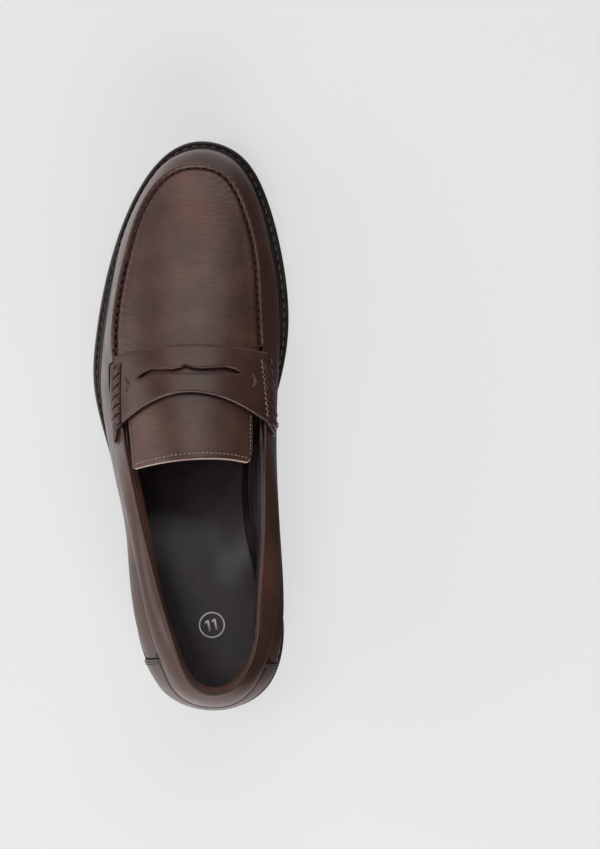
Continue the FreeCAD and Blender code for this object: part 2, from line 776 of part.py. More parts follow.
def lacing(label, centre, lean):
    """Cord wraps over the end of the strap. centre gives a wrap's middle in X from its Y."""
    wraps = []
    offsets = (CORD_START, CORD_START + WRAP_THICKNESS)
    for i in range(WRAPS):
        y = FIRST_WRAP_Y + WRAP_PITCH * i

        def surface(across, along, y=y):
            x = centre(y) + WRAP_SPAN * (across - 0.5)
            return bed_point(x, y + lean * across + WRAP_LENGTH * along)
        wraps.append(patch_solid(surface, (0.0, 1.0), (0.0, 1.0), offsets, (7, 5)))
    leather(label, Part.makeCompound(wraps))


lacing("lateral_lacing", lambda y: -38.9, 2.0)
lacing("medial_lacing", lambda y: 38.2 + 0.085 * (34 - y), -2.0)


def bar_tacks():
    """The two short curved stitch rows beside the slot's ends."""
    width, bow, start_y, length = 1.2, 1.2, 21.5, 6.0
    offsets = (CORD_START, CORD_START + 0.6)
    tacks = []
    for centre in (-34.0, 33.0):
        def surface(across, along, centre=centre):
            x = centre + width * across + bow * math.sin(math.pi * along)
            return bed_point(x, start_y + length * along)
        tacks.append(patch_solid(surface, (0.0, 1.0), (0.0, 1.0), offsets, (4, 7)))
    leather("bar_tacks", Part.makeCompound(tacks))


bar_tacks()

# --------------------------------------------------------------------------------------------
# Checks and export
# --------------------------------------------------------------------------------------------

doc.recompute()
for thing in doc.Objects:
    if "Invalid" in thing.State or "Error" in thing.State:
        raise RuntimeError("%s did not recompute: %s" % (thing.Label, thing.State))

os.makedirs("parts", exist_ok=True)
for node in nodes:
    shape = node.Shape
    if shape.isNull() or not shape.isValid() or not shape.Solids:
        raise RuntimeError("%s has no valid solid" % node.Label)
    shape.exportStep(os.path.join("parts", node.Label + ".step"))
    box = shape.BoundBox
    extent = (box.XMin, box.XMax, box.YMin, box.YMax, box.ZMin, box.ZMax)
    measures = (node.Label, len(shape.Solids), shape.Volume) + extent
    print("%-24s solids %2d  volume %9.1f  x %6.1f %6.1f  y %7.1f %6.1f  z %5.1f %5.1f" % measures)
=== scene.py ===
"""Left penny loafer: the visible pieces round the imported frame. Lengths are in mm up to the mesh."""
import math
import random

import bmesh
import bpy
import numpy as np
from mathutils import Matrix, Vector


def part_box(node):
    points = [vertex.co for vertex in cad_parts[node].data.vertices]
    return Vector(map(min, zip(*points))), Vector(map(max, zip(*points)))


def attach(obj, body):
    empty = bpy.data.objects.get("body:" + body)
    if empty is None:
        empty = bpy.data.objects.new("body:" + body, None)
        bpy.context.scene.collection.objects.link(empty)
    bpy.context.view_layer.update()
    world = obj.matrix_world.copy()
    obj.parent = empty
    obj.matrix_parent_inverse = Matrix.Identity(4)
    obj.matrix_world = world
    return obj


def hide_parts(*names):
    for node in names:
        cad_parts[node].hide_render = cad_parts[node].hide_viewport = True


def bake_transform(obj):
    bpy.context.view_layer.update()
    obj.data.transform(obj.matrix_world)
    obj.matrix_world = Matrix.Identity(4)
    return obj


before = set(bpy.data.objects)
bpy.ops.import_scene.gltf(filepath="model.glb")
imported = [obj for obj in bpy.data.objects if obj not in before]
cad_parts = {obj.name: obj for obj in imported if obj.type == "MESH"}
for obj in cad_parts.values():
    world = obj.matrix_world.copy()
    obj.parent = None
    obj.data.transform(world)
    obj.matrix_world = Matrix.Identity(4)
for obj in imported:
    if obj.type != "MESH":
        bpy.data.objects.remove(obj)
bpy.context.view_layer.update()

MM = 0.001
STATIONS = 28
random.seed(11)

# ---- Shape of the last: the outlines and curves that the CAD follows ----

SOLE_EDGE = [
    (12, -154), (-9.5, -148.5), (-22, -133), (-29.3, -109), (-31.5, -83), (-33.5, -57), (-39.5, -31),
    (-47.5, -4), (-53, 22), (-52, 47), (-47.8, 73), (-41, 99), (-30.5, 124.5), (-14.5, 146),
    (6.5, 154), (28.3, 145), (41, 123), (47.8, 99), (52, 73), (52.3, 47), (47.5, 21),
    (40.5, -5), (37.3, -31), (39, -57), (45.3, -83), (50.2, -108), (46, -134), (32, -149.5)]

WIDEST = [
    (12, -152.5), (-8, -147), (-21.3, -131), (-29.1, -108), (-32.9, -82), (-35.2, -56), (-40.3, -31),
    (-45.5, -6), (-48.8, 20), (-47.4, 46), (-43.7, 71), (-38.5, 96.5), (-29.9, 119.3), (-15, 141),
    (5.5, 149.2), (25, 141.5), (36.8, 120.5), (43, 97), (47, 73), (48, 47), (47, 21),
    (46.3, -6), (46.9, -32), (48.3, -58), (49.9, -84), (49.6, -110), (43.8, -133.5), (30, -148)]

TOP_EDGE = [
    (12.8, -145.2, 88), (-0.8, -138.2, 86), (-8.4, -121.5, 79), (-14.1, -103.2, 71.5), (-20.1, -81.2, 67),
    (-26.1, -57.2, 65), (-31.5, -33.2, 65), (-36, -9.2, 64), (-39.8, 16, 57), (-42.4, 43, 49),
    (-40.6, 68, 44), (-35.2, 93.5, 42), (-27, 118.2, 41), (-12.6, 136.5, 41), (5, 141, 41),
    (20.8, 134.5, 41), (30.6, 116.5, 42), (36.2, 95, 43), (38.2, 72, 45), (39.4, 45, 49),
    (40.6, 18, 56), (41, -8, 63), (40.8, -33, 66), (40.6, -57, 66), (39.2, -81, 68),
    (37.6, -104.4, 72), (35, -123, 79), (26.4, -138.8, 86)]

sole_low, sole_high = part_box("outsole")
LENGTH_SCALE = (sole_high[1] - sole_low[1]) / (308 * MM)
WIDTH_SCALE = (sole_high[0] - sole_low[0]) / (106 * MM)

HEEL_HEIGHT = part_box("heel_upper_lift")[1][2] / MM + 0.1
TOE_SPRING = 9.0
WELT_TOP = 8.2
HEEL_FRONT_Y = -80 * LENGTH_SCALE
WAIST_END_Y = 18 * LENGTH_SCALE
SPRING_START_Y = 72 * LENGTH_SCALE
TOE_Y = 154 * LENGTH_SCALE
APRON_TIP_Y = 141 * LENGTH_SCALE
WIDEST_SHARE = 0.3
SIDE_SEAM = 7.7
OVERLAY_END = 2.25
COLLAR_START = 6.75
LEATHER = 1.6
BED_ROUND = 1.0
STRAP_LATERAL_X = -41.6 * WIDTH_SCALE
STRAP_MEDIAL_X = 42.3 * WIDTH_SCALE
STRAP_LOW = 0.3
STRAP_HIGH = 2.5
TONGUE_LATERAL_X = -31.0 * WIDTH_SCALE
TONGUE_MEDIAL_X = 34.0 * WIDTH_SCALE
TONGUE_HIDDEN = 7.0


class Loop:
    """A smooth closed curve through evenly spaced stations (a uniform periodic cubic B-spline)."""

    def __init__(self, stations):
        goal = np.array(stations, dtype=float)
        goal[:, 0] *= WIDTH_SCALE
        goal[:, 1] *= LENGTH_SCALE
        poles = goal.copy()
        for sweep in range(50):
            poles = (6 * goal - np.roll(poles, 1, axis=0) - np.roll(poles, -1, axis=0)) / 4
        self.poles = poles

    def at(self, station):
        station = np.asarray(station, dtype=float)
        first = np.floor(station).astype(int)
        f = (station - first)[..., None]
        weights = ((1 - f) ** 3, 3 * f ** 3 - 6 * f ** 2 + 4, -3 * f ** 3 + 3 * f ** 2 + 3 * f + 1, f ** 3)
        rows = [self.poles[(first - 1 + k) % STATIONS] for k in range(4)]
        return sum(w * row for w, row in zip(weights, rows)) / 6

    def inward(self, station):
        """The unit normal in plan that points into the shoe."""
        step = self.at(np.asarray(station) + 0.05) - self.at(np.asarray(station) - 0.05)
        reach = np.hypot(step[..., 0], step[..., 1])
        return np.stack((step[..., 1] / reach, -step[..., 0] / reach), axis=-1)


sole_edge = Loop(SOLE_EDGE)
widest = Loop(WIDEST)
top_edge = Loop(TOP_EDGE)


def smooth(value):
    value = np.clip(value, 0.0, 1.0)
    return value * value * (3 - 2 * value)


def floor_line(y):
    waist = HEEL_HEIGHT * (1 - smooth((y - HEEL_FRONT_Y) / (WAIST_END_Y - HEEL_FRONT_Y)))
    spring = np.maximum(0.0, (y - SPRING_START_Y) / (TOE_Y - SPRING_START_Y))
    return waist + TOE_SPRING * spring ** 2


def instep(x, y):
    back = APRON_TIP_Y - y
    ridge = 43.5 + 0.1 * back + 0.00132 * back ** 2
    ridge_x = -1.3 + 0.0009 * (y - 50) ** 2
    bend = 0.0072 + 2.9e-9 * np.maximum(back, 0) ** 3
    tip_roll = 2.5 * np.maximum(0.0, 1 - back / 25) ** 2
    return ridge - bend * (x - ridge_x) ** 2 - tip_roll


def front_share(station):
    from_toe = np.abs(np.mod(station, STATIONS) - STATIONS / 2)
    return 1 - smooth((from_toe - 6) / 1.5)


def feather_inset(station):
    return 5.2 - 1.7 * np.cos(2 * math.pi * np.asarray(station) / STATIONS)


def wall_foot(station):
    foot = sole_edge.at(station) + sole_edge.inward(station) * feather_inset(station)[..., None]
    return np.concatenate((foot, (floor_line(foot[..., 1]) + WELT_TOP + 0.1)[..., None]), axis=-1)


def wall_widest(station):
    wide = widest.at(station)
    height = 13.5 + 4.5 * np.cos(2 * math.pi * np.asarray(station) / STATIONS)
    return np.concatenate((wide, (floor_line(wide[..., 1]) + WELT_TOP + height)[..., None]), axis=-1)


def wall_top(station):
    top = top_edge.at(station)
    share = front_share(station)
    z = share * instep(top[..., 0], top[..., 1]) + (1 - share) * top[..., 2]
    return np.concatenate((top[..., :2], z[..., None]), axis=-1)


def wall_lean(station):
    return 1.6 - 0.25 * np.cos(2 * math.pi * np.asarray(station) / STATIONS)


def wall(station, rise):
    """Outer face of the side walls: rise 0 at the welt, WIDEST_SHARE at the widest, 1 on top."""
    station, rise = np.broadcast_arrays(np.asarray(station, float), np.asarray(rise, float))
    foot, wide, top = wall_foot(station), wall_widest(station), wall_top(station)
    low = np.clip(rise / WIDEST_SHARE, -1, 1)[..., None]
    out = 1 - (1 - low) ** 2
    high = np.maximum((rise - WIDEST_SHARE) / (1 - WIDEST_SHARE), 1e-9)
    lean = (high ** wall_lean(station))[..., None]
    below = (rise < WIDEST_SHARE)[..., None]
    lower = np.concatenate((out, out, low), axis=-1)
    upper_share = np.concatenate((lean, lean, high[..., None]), axis=-1)
    return np.where(below, foot + (wide - foot) * lower, wide + (top - wide) * upper_share)


def wall_height(x, y):
    """Height of the wall's outer face over a place beside the instep, carried on up inside its top."""
    outer = x < 0
    near = np.where(outer, 5.0, STATIONS - 5.0)
    far = np.where(outer, 11.0, STATIONS - 11.0)
    for halving in range(24):
        station = (near + far) / 2
        wide, top = wall_widest(station), wall_top(station)
        way = top - wide
        turn = way[..., 0] * (y - wide[..., 1]) - way[..., 1] * (x - wide[..., 0])
        ahead = turn * np.where(outer, 1, -1) > 0
        near, far = np.where(ahead, station, near), np.where(ahead, far, station)
    reach = way[..., 0] ** 2 + way[..., 1] ** 2
    lean = ((x - wide[..., 0]) * way[..., 0] + (y - wide[..., 1]) * way[..., 1]) / reach
    return wide[..., 2] + way[..., 2] * np.maximum(lean, 0.0) ** (1 / wall_lean(station))


def on_instep(x, y):
    x, y = np.broadcast_arrays(np.asarray(x, float), np.asarray(y, float))
    return np.stack((x, y, instep(x, y)), axis=-1)


def on_bed(x, y):
    """What the strap lies on: the instep, then the wall beyond its top edge, with a soft shoulder."""
    x, y = np.broadcast_arrays(np.asarray(x, float), np.asarray(y, float))
    over_instep, over_wall = instep(x, y), wall_height(x, y)
    shoulder = math.log(2) - np.log(1 + np.exp(-np.abs(over_instep - over_wall) / BED_ROUND))
    return np.stack((x, y, np.minimum(over_instep, over_wall) + BED_ROUND * shoulder), axis=-1)


def strap_front(x):
    return 42.8 - 0.0029 * (x - 4) ** 2


def strap_rear(x):
    """The arch over the tongue, drawn back into a tip at each end."""
    outer = 17 - 0.0131 * x ** 2 - 1.6 * np.maximum(0.0, -x - 38.5)
    inner = 17 - 0.0103 * x ** 2 - 1.5 * np.maximum(0.0, x - 39)
    return np.where(x < 0, outer, inner)


def on_strap(x, y):
    """A place on the strap's bed. The strap's ends bow and slant."""
    bow = 2.4 * ((y - 14) / 24) ** 2 * np.maximum(0.0, (-x - 30) / 11.6) ** 2
    slant = 0.088 * (16 - y) * np.maximum(0.0, (x - 20) / 22.3) ** 2
    return on_bed(x + bow + slant, y)


def tongue_rear(x):
    """The tongue's free edge: lowest at its outer corner, and rounded at its inner one."""
    outer_corner = 0.0038 * np.minimum(x - 10, 0) ** 2
    inner_drop = 0.0065 * np.maximum(x - 12, 0) ** 2
    inner_round = 0.55 * np.maximum(x - 30.5, 0) ** 2
    return -17.3 - outer_corner - inner_drop + inner_round


def on_tongue(x, along):
    """along runs from 0 at the free edge to 1 under the strap. The outer side slants out."""
    x, along = np.broadcast_arrays(np.asarray(x, float), np.asarray(along, float))
    y = tongue_rear(x) + (strap_rear(x) + TONGUE_HIDDEN - tongue_rear(x)) * along
    slant = -0.11 * (y + 23) * np.maximum(0.0, (-x - 10) / 21) ** 2
    return on_instep(x + slant, y)


def on_overlay(station, rise):
    """The heel overlay's part of the wall: its front edges come back as they rise."""
    return wall(station * (1 - 0.2 * np.maximum(rise - WIDEST_SHARE, 0.0)), rise)


def offset_points(surface, a, b, distance):
    """Points of surface(a, b) moved out of the shoe along the surface's normal."""
    step = 1e-3
    along = surface(a + step, b) - surface(a - step, b)
    across = surface(a, b + step) - surface(a, b - step)
    normal = np.cross(along, across)
    normal /= np.linalg.norm(normal, axis=-1, keepdims=True)
    if surface in (wall, on_overlay):
        normal = -normal
    return surface(a, b) + normal * np.asarray(distance)[..., None]


# ---- Meshes ----


def make_object(name, points, faces, material, sharp=45):
    """A closed mesh from points in mm. Edges sharper than sharp degrees keep a crisp shading."""
    body = bmesh.new()
    verts = [body.verts.new(point) for point in (np.asarray(points) * MM).tolist()]
    for face in faces:
        body.faces.new([verts[k] for k in face])
    bmesh.ops.remove_doubles(body, verts=body.verts, dist=2e-6)
    bmesh.ops.recalc_face_normals(body, faces=body.faces)
    mesh = bpy.data.meshes.new(name)
    body.to_mesh(mesh)
    body.free()
    mesh.materials.append(material)
    mesh.shade_smooth()
    mesh.set_sharp_from_angle(angle=math.radians(sharp))
    piece = bpy.data.objects.new(name, mesh)
    bpy.context.collection.objects.link(piece)
    return piece


def grid_faces(rows, columns, start=0, closed_rows=False, closed_columns=False, turn=1):
    """Quads over a grid of points. turn -1 gives their corners in the opposite order."""
    faces = []
    for i in range(rows if closed_rows else rows - 1):
        for j in range(columns if closed_columns else columns - 1):
            i2, j2 = (i + 1) % rows, (j + 1) % columns
            quad = [start + i * columns + j, start + i2 * columns + j,
                    start + i2 * columns + j2, start + i * columns + j2]
            faces.append(quad[::turn])
    return faces


def closed_sheet(top, bottom, start=0):
    """Points and faces of a solid between two grids of points of the same size."""
    rows, columns = top.shape[:2]
    count = rows * columns
    points = list(top.reshape(-1, 3)) + list(bottom.reshape(-1, 3))
    faces = grid_faces(rows, columns, start) + grid_faces(rows, columns, start + count, turn=-1)
    rim = [i * columns for i in range(rows)]
    rim += [(rows - 1) * columns + j for j in range(1, columns)]
    rim += [i * columns + columns - 1 for i in range(rows - 2, -1, -1)]
    rim += list(range(columns - 2, 0, -1))
    for here, there in zip(rim, rim[1:] + rim[:1]):
        faces.append([start + k for k in (there, here, here + count, there + count)])
    return points, faces


def edge_spacing(start, end, count, length, radius, ends):
    """Parameters from start to end with fine steps inside each rounded edge, and how deep each
    one is in the rounding: 1 at the edge, 0 inside."""
    steps = (0.0, 0.03, 0.12, 0.3, 0.6, 1.0)
    share = radius / length
    head = [(s * share, 1 - s) for s in steps] if ends[0] else [(0.0, 0.0)]
    tail = [(1 - s * share, 1 - s) for s in reversed(steps)] if ends[1] else [(1.0, 0.0)]
    first, last = head[-1][0], tail[0][0]
    middle = [(first + (last - first) * k / count, 0.0) for k in range(1, count)]
    rows = np.array(head + middle + tail)
    return start + (end - start) * rows[:, 0], rows[:, 1]


def leather_sheet(name, surface, first, second, offsets, radius, material, shift=None):
    """A closed solid between two offsets of a surface, with its upper edges rounded.
    first and second are (start, end, count, length_mm, (rounded start, rounded end)). shift moves
    both faces by a function of the two parameters."""
    a, deep_a = edge_spacing(*first[:4], radius, first[4])
    b, deep_b = edge_spacing(*second[:4], radius, second[4])
    grid_a, grid_b = np.meshgrid(a, b, indexing="ij")
    deep = np.minimum(np.hypot(*np.meshgrid(deep_a, deep_b, indexing="ij")), 1.0)
    drop = radius * (1 - np.sqrt(1 - deep ** 2))
    low, high = offsets
    moved = shift(grid_a, grid_b) if shift else 0.0
    top = offset_points(surface, grid_a, grid_b, high - drop + moved)
    bottom = offset_points(surface, grid_a, grid_b, np.full(drop.shape, low) + moved)
    points, faces = closed_sheet(top, bottom)
    return make_object(name, points, faces, material)


def tube(name, path, radii, material, section):
    """A tube along a path, which is (points, normals). radii is (sideways, along the normals), for the
    whole tube or per ring."""
    centres, normals = path
    sides, ups = path_frames(centres, normals)[1:]
    radii = np.broadcast_to(np.asarray(radii, float), (len(centres), 2))
    points = []
    for centre, side, up, radius in zip(centres, sides, ups, radii):
        for k in range(section):
            angle = 2 * math.pi * k / section
            points.append(centre + side * math.cos(angle) * radius[0] + up * math.sin(angle) * radius[1])
    faces = grid_faces(len(centres), section, closed_columns=True)
    faces.append(list(range(section)))
    faces.append(list(range(len(points) - 1, len(points) - section - 1, -1)))
    return make_object(name, points, faces, material)


def path_frames(points, normals):
    """Unit tangents, sides and ups along a path whose surface normals are known."""
    points = np.asarray(points)
    tangents = np.gradient(points, axis=0)
    tangents /= np.linalg.norm(tangents, axis=1, keepdims=True)
    sides = np.cross(tangents, normals)
    sides /= np.linalg.norm(sides, axis=1, keepdims=True)
    ups = np.cross(sides, tangents)
    return tangents, sides, ups


def resample(points, normals, pitch):
    """Points and normals at even steps of about pitch along a path."""
    points, normals = np.asarray(points), np.asarray(normals)
    reach = np.concatenate(([0.0], np.cumsum(np.linalg.norm(np.diff(points, axis=0), axis=1))))
    count = max(2, int(round(reach[-1] / pitch)) + 1)
    places = np.linspace(0, reach[-1], count)
    even = np.stack([np.interp(places, reach, points[:, k]) for k in range(3)], axis=1)
    turned = np.stack([np.interp(places, reach, normals[:, k]) for k in range(3)], axis=1)
    turned /= np.linalg.norm(turned, axis=1, keepdims=True)
    return even, turned


def stitch_row(name, path, pitch, length, radius, material, rise, slant=0.0):
    """A row of separate stitches: each one a short thread whose two ends go down into the leather."""
    centres, ups = resample(*path, pitch)
    tangents, sides, ups = path_frames(centres, ups)
    verts, faces = [], []
    rings, section = 7, 6
    for centre, tangent, side, up in zip(centres, tangents, sides, ups):
        lean = slant + random.uniform(-0.05, 0.05)
        direction = tangent * math.cos(lean) + side * math.sin(lean)
        cross = np.cross(direction, up)
        half = length * random.uniform(0.47, 0.52)
        start = len(verts)
        for r in range(rings):
            t = -1 + 2 * r / (rings - 1)
            lift = rise * (1 - abs(t) ** 3) - 1.4 * radius * abs(t) ** 4
            middle = centre + direction * half * t + up * lift
            for k in range(section):
                angle = 2 * math.pi * k / section
                verts.append(middle + cross * math.cos(angle) * radius + up * math.sin(angle) * radius)
        faces += grid_faces(rings, section, start, closed_columns=True)
        faces.append(list(range(start, start + section)))
        faces.append(list(range(start + rings * section - 1, start + (rings - 1) * section - 1, -1)))
    return make_object(name, verts, faces, material)


def surface_path(surface, a, b, distance):
    """A line at a distance over a surface, and the surface's normals along it."""
    a, b = np.broadcast_arrays(np.asarray(a, float), np.asarray(b, float))
    low = offset_points(surface, a, b, np.full(a.shape, distance))
    high = offset_points(surface, a, b, np.full(a.shape, distance + 1.0))
    return low, high - low


def settle(piece, slot, *nodes):
    """The piece stays with the shoe's body and stands for these nodes. slot is not used."""
    if nodes:
        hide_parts(*nodes)
    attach(piece, "shoe")


# ---- Materials ----


def new_material(name):
    material = bpy.data.materials.new(name)
    material.use_nodes = True
    nodes, links = material.node_tree.nodes, material.node_tree.links
    shader = nodes["Principled BSDF"]
    place = nodes.new("ShaderNodeTexCoord")
    return material, nodes, links, shader, place.outputs["Object"]


def noise_of(nodes, links, vector, scale, detail=4.0, stretch=None, roughness=0.55):
    node = nodes.new("ShaderNodeTexNoise")
    node.inputs["Scale"].default_value = scale
    node.inputs["Detail"].default_value = detail
    node.inputs["Roughness"].default_value = roughness
    if stretch:
        mapping = nodes.new("ShaderNodeMapping")
        mapping.inputs["Scale"].default_value = stretch
        links.new(vector, mapping.inputs["Vector"])
        vector = mapping.outputs["Vector"]
    links.new(vector, node.inputs["Vector"])
    return node.outputs["Fac"]


def cells_of(nodes, links, vector, scale):
    node = nodes.new("ShaderNodeTexVoronoi")
    node.feature = "DISTANCE_TO_EDGE"
    node.inputs["Scale"].default_value = scale
    links.new(vector, node.inputs["Vector"])
    return node.outputs["Distance"]


def ramp_of(nodes, links, value, stops):
    node = nodes.new("ShaderNodeValToRGB")
    ramp = node.color_ramp
    ramp.elements[0].position, ramp.elements[1].position = stops[0][0], stops[-1][0]
    for position, colour in stops[1:-1]:
        ramp.elements.new(position)
    for element, (position, colour) in zip(ramp.elements, stops):
        element.color = rgb(*colour)
    links.new(value, node.inputs["Fac"])
    return node.outputs["Color"]


def bump_of(nodes, links, height, distance, under=None):
    node = nodes.new("ShaderNodeBump")
    node.inputs["Strength"].default_value = 1.0
    node.inputs["Distance"].default_value = distance
    links.new(height, node.inputs["Height"])
    if under is not None:
        links.new(under, node.inputs["Normal"])
    return node.outputs["Normal"]


def ranged(nodes, links, value, source, target):
    node = nodes.new("ShaderNodeMapRange")
    node.inputs["From Min"].default_value, node.inputs["From Max"].default_value = source
    node.inputs["To Min"].default_value, node.inputs["To Max"].default_value = target
    links.new(value, node.inputs["Value"])
    return node.outputs["Result"]


def grained(name, dark, mid, light, rough, grain_scale, grain_depth, crease_stretch=(1, 3.2, 1),
            crease_depth=0.00006, coat=0.0, coat_rough=0.3, specular=0.5, tint=(1, 1, 1, 1)):
    """Leather: mottled colour, closed fine grain and long shallow creases."""
    material, nodes, links, shader, place = new_material(name)
    mottle = noise_of(nodes, links, place, 28.0, 5.0)
    links.new(ramp_of(nodes, links, mottle, [(0.3, dark), (0.5, mid), (0.72, light)]),
              shader.inputs["Base Color"])
    wear = noise_of(nodes, links, place, 90.0, 3.0)
    links.new(ranged(nodes, links, wear, (0.25, 0.75), rough), shader.inputs["Roughness"])
    crease = noise_of(nodes, links, place, 130.0, 6.0, stretch=crease_stretch, roughness=0.62)
    grain = cells_of(nodes, links, place, grain_scale)
    first = bump_of(nodes, links, crease, crease_depth)
    links.new(bump_of(nodes, links, grain, grain_depth, under=first), shader.inputs["Normal"])
    shader.inputs["Coat Weight"].default_value = coat
    shader.inputs["Coat Roughness"].default_value = coat_rough
    shader.inputs["Specular IOR Level"].default_value = specular
    shader.inputs["Specular Tint"].default_value = tint
    return material


def rgb(red, green, blue):
    """A screen colour, 0 to 255, as linear RGBA."""
    def linear(value):
        value /= 255
        return value / 12.92 if value <= 0.04045 else ((value + 0.055) / 1.055) ** 2.4
    return (linear(red), linear(green), linear(blue), 1.0)


WARM = (1.0, 0.9, 0.86, 1.0)
upper = grained("upper_leather", (51, 32, 27), (64, 41, 35), (80, 51, 44), (0.27, 0.4),
                900.0, 0.00004, crease_depth=0.0001, coat=0.08, coat_rough=0.2, specular=0.42, tint=WARM)
apron_leather = grained("apron_leather", (51, 33, 28), (67, 43, 37), (90, 58, 48), (0.3, 0.44),
                        700.0, 0.00008, crease_stretch=(1.8, 5.0, 1), crease_depth=0.00024, coat=0.08,
                        coat_rough=0.25, tint=WARM)
# Near-black leather: dark cut edges, and painted shade in the strap's slot, along the collar's seam, under
# the overlay's and the strap's edges and between the outer roll's turns.
dark_edge_and_shade = grained("dark_edge_and_shade_leather", (8, 6, 5), (14, 10, 9), (22, 16, 14), (0.5, 0.65),
                   500.0, 0.00003, specular=0.12)
lining_leather = grained("lining_leather", (64, 37, 28), (80, 48, 37), (96, 60, 47), (0.42, 0.55),
                         700.0, 0.00002)
sock_leather = grained("sock_leather", (29, 20, 25), (39, 29, 34), (52, 41, 46), (0.34, 0.48),
                       1100.0, 0.00016, crease_depth=0.00008, coat=0.12, coat_rough=0.3)
raw_leather = grained("raw_edge_leather", (120, 98, 90), (150, 128, 118), (176, 156, 146),
                      (0.7, 0.85), 500.0, 0.0001)


def rubber(name, dark, light, rough, texture_scale):
    material, nodes, links, shader, place = new_material(name)
    mottle = noise_of(nodes, links, place, 60.0, 4.0)
    links.new(ramp_of(nodes, links, mottle, [(0.35, dark), (0.7, light)]), shader.inputs["Base Color"])
    wear = noise_of(nodes, links, place, 200.0, 3.0)
    links.new(ranged(nodes, links, wear, (0.25, 0.75), rough), shader.inputs["Roughness"])
    pebble = noise_of(nodes, links, place, texture_scale, 5.0)
    links.new(bump_of(nodes, links, pebble, 0.00005), shader.inputs["Normal"])
    return material


sole_rubber = rubber("sole_rubber", (24, 20, 19), (36, 31, 29), (0.45, 0.6), 900.0)
welt_rubber = rubber("welt_rubber", (26, 22, 21), (40, 35, 33), (0.34, 0.46), 700.0)


def twisted_thread(name, dark, light):
    """Waxed thread: a fine twist along its length."""
    material, nodes, links, shader, place = new_material(name)
    wave = nodes.new("ShaderNodeTexWave")
    wave.bands_direction = "DIAGONAL"
    wave.inputs["Scale"].default_value = 900.0
    wave.inputs["Distortion"].default_value = 3.0
    links.new(place, wave.inputs["Vector"])
    links.new(ramp_of(nodes, links, wave.outputs["Fac"], [(0.2, dark), (0.8, light)]),
              shader.inputs["Base Color"])
    links.new(bump_of(nodes, links, wave.outputs["Fac"], 0.00005), shader.inputs["Normal"])
    shader.inputs["Roughness"].default_value = 0.5
    shader.inputs["Sheen Weight"].default_value = 0.2
    return material


brown_thread = twisted_thread("brown_thread", (28, 18, 15), (56, 38, 32))
dark_thread = twisted_thread("dark_thread", (14, 9, 8), (30, 19, 16))
red_thread = twisted_thread("reddish_thread", (62, 38, 34), (104, 70, 64))
# Light thread: its colour also paints the glints on the threads of the tongue's rows and beside the inner
# roll.
light_thread_and_glint = twisted_thread("light_thread_and_glint", (110, 84, 76), (176, 148, 138))


def simple(name, dark, light, rough, metal=0.0, scale=120.0, bump=0.00003):
    material, nodes, links, shader, place = new_material(name)
    mottle = noise_of(nodes, links, place, scale, 5.0)
    links.new(ramp_of(nodes, links, mottle, [(0.35, dark), (0.65, light)]), shader.inputs["Base Color"])
    links.new(bump_of(nodes, links, mottle, bump), shader.inputs["Normal"])
    shader.inputs["Roughness"].default_value = rough
    shader.inputs["Metallic"].default_value = metal
    return material


inner_materials = {
    "cork_filler": simple("cork", (120, 84, 52), (176, 132, 88), 0.85, scale=500.0, bump=0.0002),
    "shank_cover": simple("fibreboard_dark", (120, 98, 74), (150, 124, 96), 0.8, scale=300.0),
    "insole_board": simple("fibreboard", (140, 112, 82), (172, 142, 108), 0.8, scale=300.0),
    "heel_pad": simple("latex_foam", (200, 192, 165), (222, 214, 190), 0.9, scale=700.0,
                       bump=0.0001),
    "collar_padding": simple("collar_foam", (60, 50, 46), (80, 70, 64), 0.9, scale=700.0,
                             bump=0.0001),
    "steel_shank": simple("spring_steel", (120, 122, 126), (150, 152, 156), 0.32, 1.0, scale=60.0),
    "heel_nails": simple("nail_steel", (120, 118, 112), (160, 156, 148), 0.35, 1.0, scale=200.0),
    "toe_puff": simple("stiffener_sheet", (176, 164, 140), (200, 188, 164), 0.6, scale=250.0),
    "counter_stiffener": simple("counter_sheet", (170, 158, 134), (196, 184, 160), 0.6, scale=250.0),
    "apron_lining": lining_leather,
    # The strap's backing is near-black: seen through the slot, it paints the shade there.
    "strap_backing": dark_edge_and_shade,
    "tongue_lining": lining_leather,
}
for node_name, node_material in inner_materials.items():
    mesh_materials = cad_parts[node_name].data.materials
    mesh_materials.clear()
    mesh_materials.append(node_material)

white_print = simple("sock_print", (214, 210, 210), (228, 226, 226), 0.6, scale=400.0)

# ---- Bottom ----

RIM = 360
PLATE_COLUMNS = 28


def outline_rings(profile, count, lift=None):
    """Rings of points round the sole's outline. profile lists (share, extra, height above the floor
    line): a ring is inset by that share of the feather's inset, and extra mm. lift raises the rings by
    a function of the place in plan."""
    stations = np.arange(count) * STATIONS / count
    edge, inward = sole_edge.at(stations), sole_edge.inward(stations)
    rings = []
    for share, extra, height in profile:
        depth = feather_inset(stations) * share + extra
        plan = edge + inward * depth[:, None]
        rings.append(np.column_stack((plan, plate_height(plan[:, 0], plan[:, 1], height, lift))))
    return rings


def plate_height(x, y, height, lift):
    return floor_line(y) + height + (lift(x, y) if lift else 0.0)


